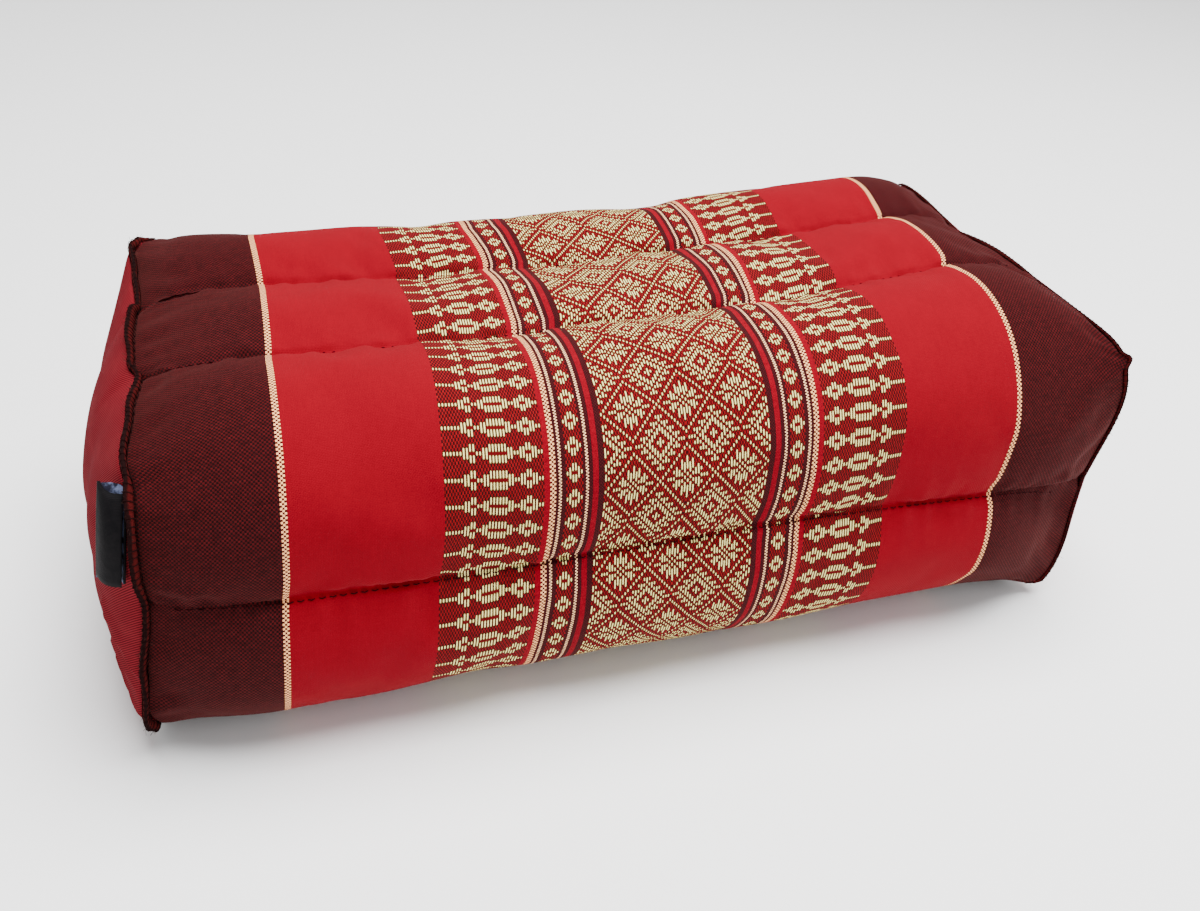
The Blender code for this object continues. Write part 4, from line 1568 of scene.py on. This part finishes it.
class CUSHION_OT_stitches(bpy.types.Operator):
    """Makes the stitches along every channel"""

    bl_idname = "cushion.stitches"
    bl_label = "Channel stitches"

    def execute(self, context):
        look = context.scene.cushion_trim
        bm = bmesh.new()
        radius = look.stitch_width / MM / 2
        pitch = look.stitch_pitch / MM
        count = int((SEAM_TO_SEAM - BARE_LENGTH) / pitch)
        for index in range(len(CHANNELS)):
            for number in range(count):
                middle = (number - (count - 1) / 2) * pitch
                steps = (-1.0, 0.0, 1.0)
                path = [self.spot(middle + step * pitch * STITCH_REACH, index, step) for step in steps]
                strand(path, radius, 6, bm)
        thread = thread_finish("channel_thread", look.stitch)
        closed_piece("channel_stitches", bm, thread, None)
        return {"FINISHED"}

    @staticmethod
    def spot(x, index, step):
        along = x / HALF_LENGTH
        channels = channel_spots(min(1.0, abs(along) / WAIST_END))
        on_front = CHANNELS[index].name == "front"
        spot = sleeve_spot(along, channels, index, FRONT_STITCH_SHARE if on_front else 0.0)
        inward = (Vector((0.0, MIDDLE_HEIGHT)) - spot).normalized()
        depth = FRONT_STITCH_DEPTH if on_front else STITCH_DEPTH
        spot = spot + inward * (depth + STITCH_DIP * abs(step))
        return settle(x, spot.x, max(STITCH_CLEAR, spot.y))


# The camera, in mm and degrees, and its lens on Blender's own 36 mm frame width
CAMERA_PLACE = Vector((-110.416, -349.566, 292.44)) + STAND_SHIFT
CAMERA_TURN = (58.617, -3.280, -18.438)
CAMERA_LENS = 34.737
CAMERA_SHIFT = (-0.0417, -0.05)
FLOOR_SIZE = 6.0

Lamp = namedtuple("Lamp", "name place aim size share")
LAMPS = (
    Lamp("overhead", (0.2, -0.1, 1.3), (0.0, 0.0, 0.05), 1.1, "key_power"),
    Lamp("front", (1.0, -0.9, 0.55), (0.0, 0.0, 0.05), 0.9, "fill_power"),
)


class CUSHION_OT_stage(bpy.types.Operator):
    """Makes the camera, the lights and the pale floor"""

    bl_idname = "cushion.stage"
    bl_label = "Stage"

    def execute(self, context):
        look = context.scene.cushion_stage
        camera = add_object("camera", bpy.data.cameras.new("camera"))
        camera.location = CAMERA_PLACE * MM
        camera.rotation_euler = Euler([radians(angle) for angle in CAMERA_TURN])
        camera.data.lens = CAMERA_LENS
        camera.data.shift_x, camera.data.shift_y = CAMERA_SHIFT
        camera.data.clip_start = 0.01
        context.scene.camera = camera
        for lamp in LAMPS:
            light = bpy.data.lights.new(lamp.name, "AREA")
            light.shape = "DISK"
            light.size = lamp.size
            light.energy = getattr(look, lamp.share)
            holder = add_object(lamp.name, light)
            holder.location = lamp.place
            aim = Vector(lamp.aim) - Vector(lamp.place)
            holder.rotation_euler = aim.to_track_quat("-Z", "Y").to_euler()
        world = bpy.data.worlds.new("studio")
        world.use_nodes = True
        background = world.node_tree.nodes["Background"]
        background.inputs["Color"].default_value = (1.0, 1.0, 1.0, 1.0)
        background.inputs["Strength"].default_value = look.room
        context.scene.world = world
        bm = bmesh.new()
        bmesh.ops.create_grid(bm, x_segments=1, y_segments=1, size=FLOOR_SIZE / 2)
        floor = mesh_object("floor", bm)
        floor.data.materials.append(floor_finish())
        return {"FINISHED"}


PIECE_OPERATORS = (
    CUSHION_OT_stage,
    CUSHION_OT_sleeve,
    CUSHION_OT_end_cloths,
    CUSHION_OT_edges,
    CUSHION_OT_label,
    CUSHION_OT_stitches,
)
SETTINGS = {
    "cushion_sleeve": SleeveSettings,
    "cushion_ends": EndSettings,
    "cushion_edges": EdgeSettings,
    "cushion_trim": TrimSettings,
    "cushion_stage": StageSettings,
}


class CUSHION_PT_pieces(bpy.types.Panel):
    """Lists the cushion's pieces and their settings"""

    bl_idname = "CUSHION_PT_pieces"
    bl_label = "Block cushion"
    bl_space_type = "VIEW_3D"
    bl_region_type = "UI"
    bl_category = "Cushion"

    def draw(self, context):
        for operator in PIECE_OPERATORS:
            self.layout.operator(operator.bl_idname)
        for name, settings in SETTINGS.items():
            box = self.layout.box()
            for key in settings.__annotations__:
                box.prop(getattr(context.scene, name), key)


def register():
    for kind in (*SETTINGS.values(), *PIECE_OPERATORS, CUSHION_PT_pieces):
        bpy.utils.register_class(kind)
    for name, settings in SETTINGS.items():
        setattr(bpy.types.Scene, name, PointerProperty(type=settings))


def unregister():
    for name in SETTINGS:
        delattr(bpy.types.Scene, name)
    for kind in (CUSHION_PT_pieces, *reversed(PIECE_OPERATORS), *SETTINGS.values()):
        bpy.utils.unregister_class(kind)


def main():
    register()
    bpy.ops.cushion.stage()
    bpy.ops.cushion.sleeve()
    bpy.ops.cushion.end_cloths()
    bpy.ops.cushion.edges()
    bpy.ops.cushion.label()
    bpy.ops.cushion.stitches()


if __name__ == "__main__":
    main()
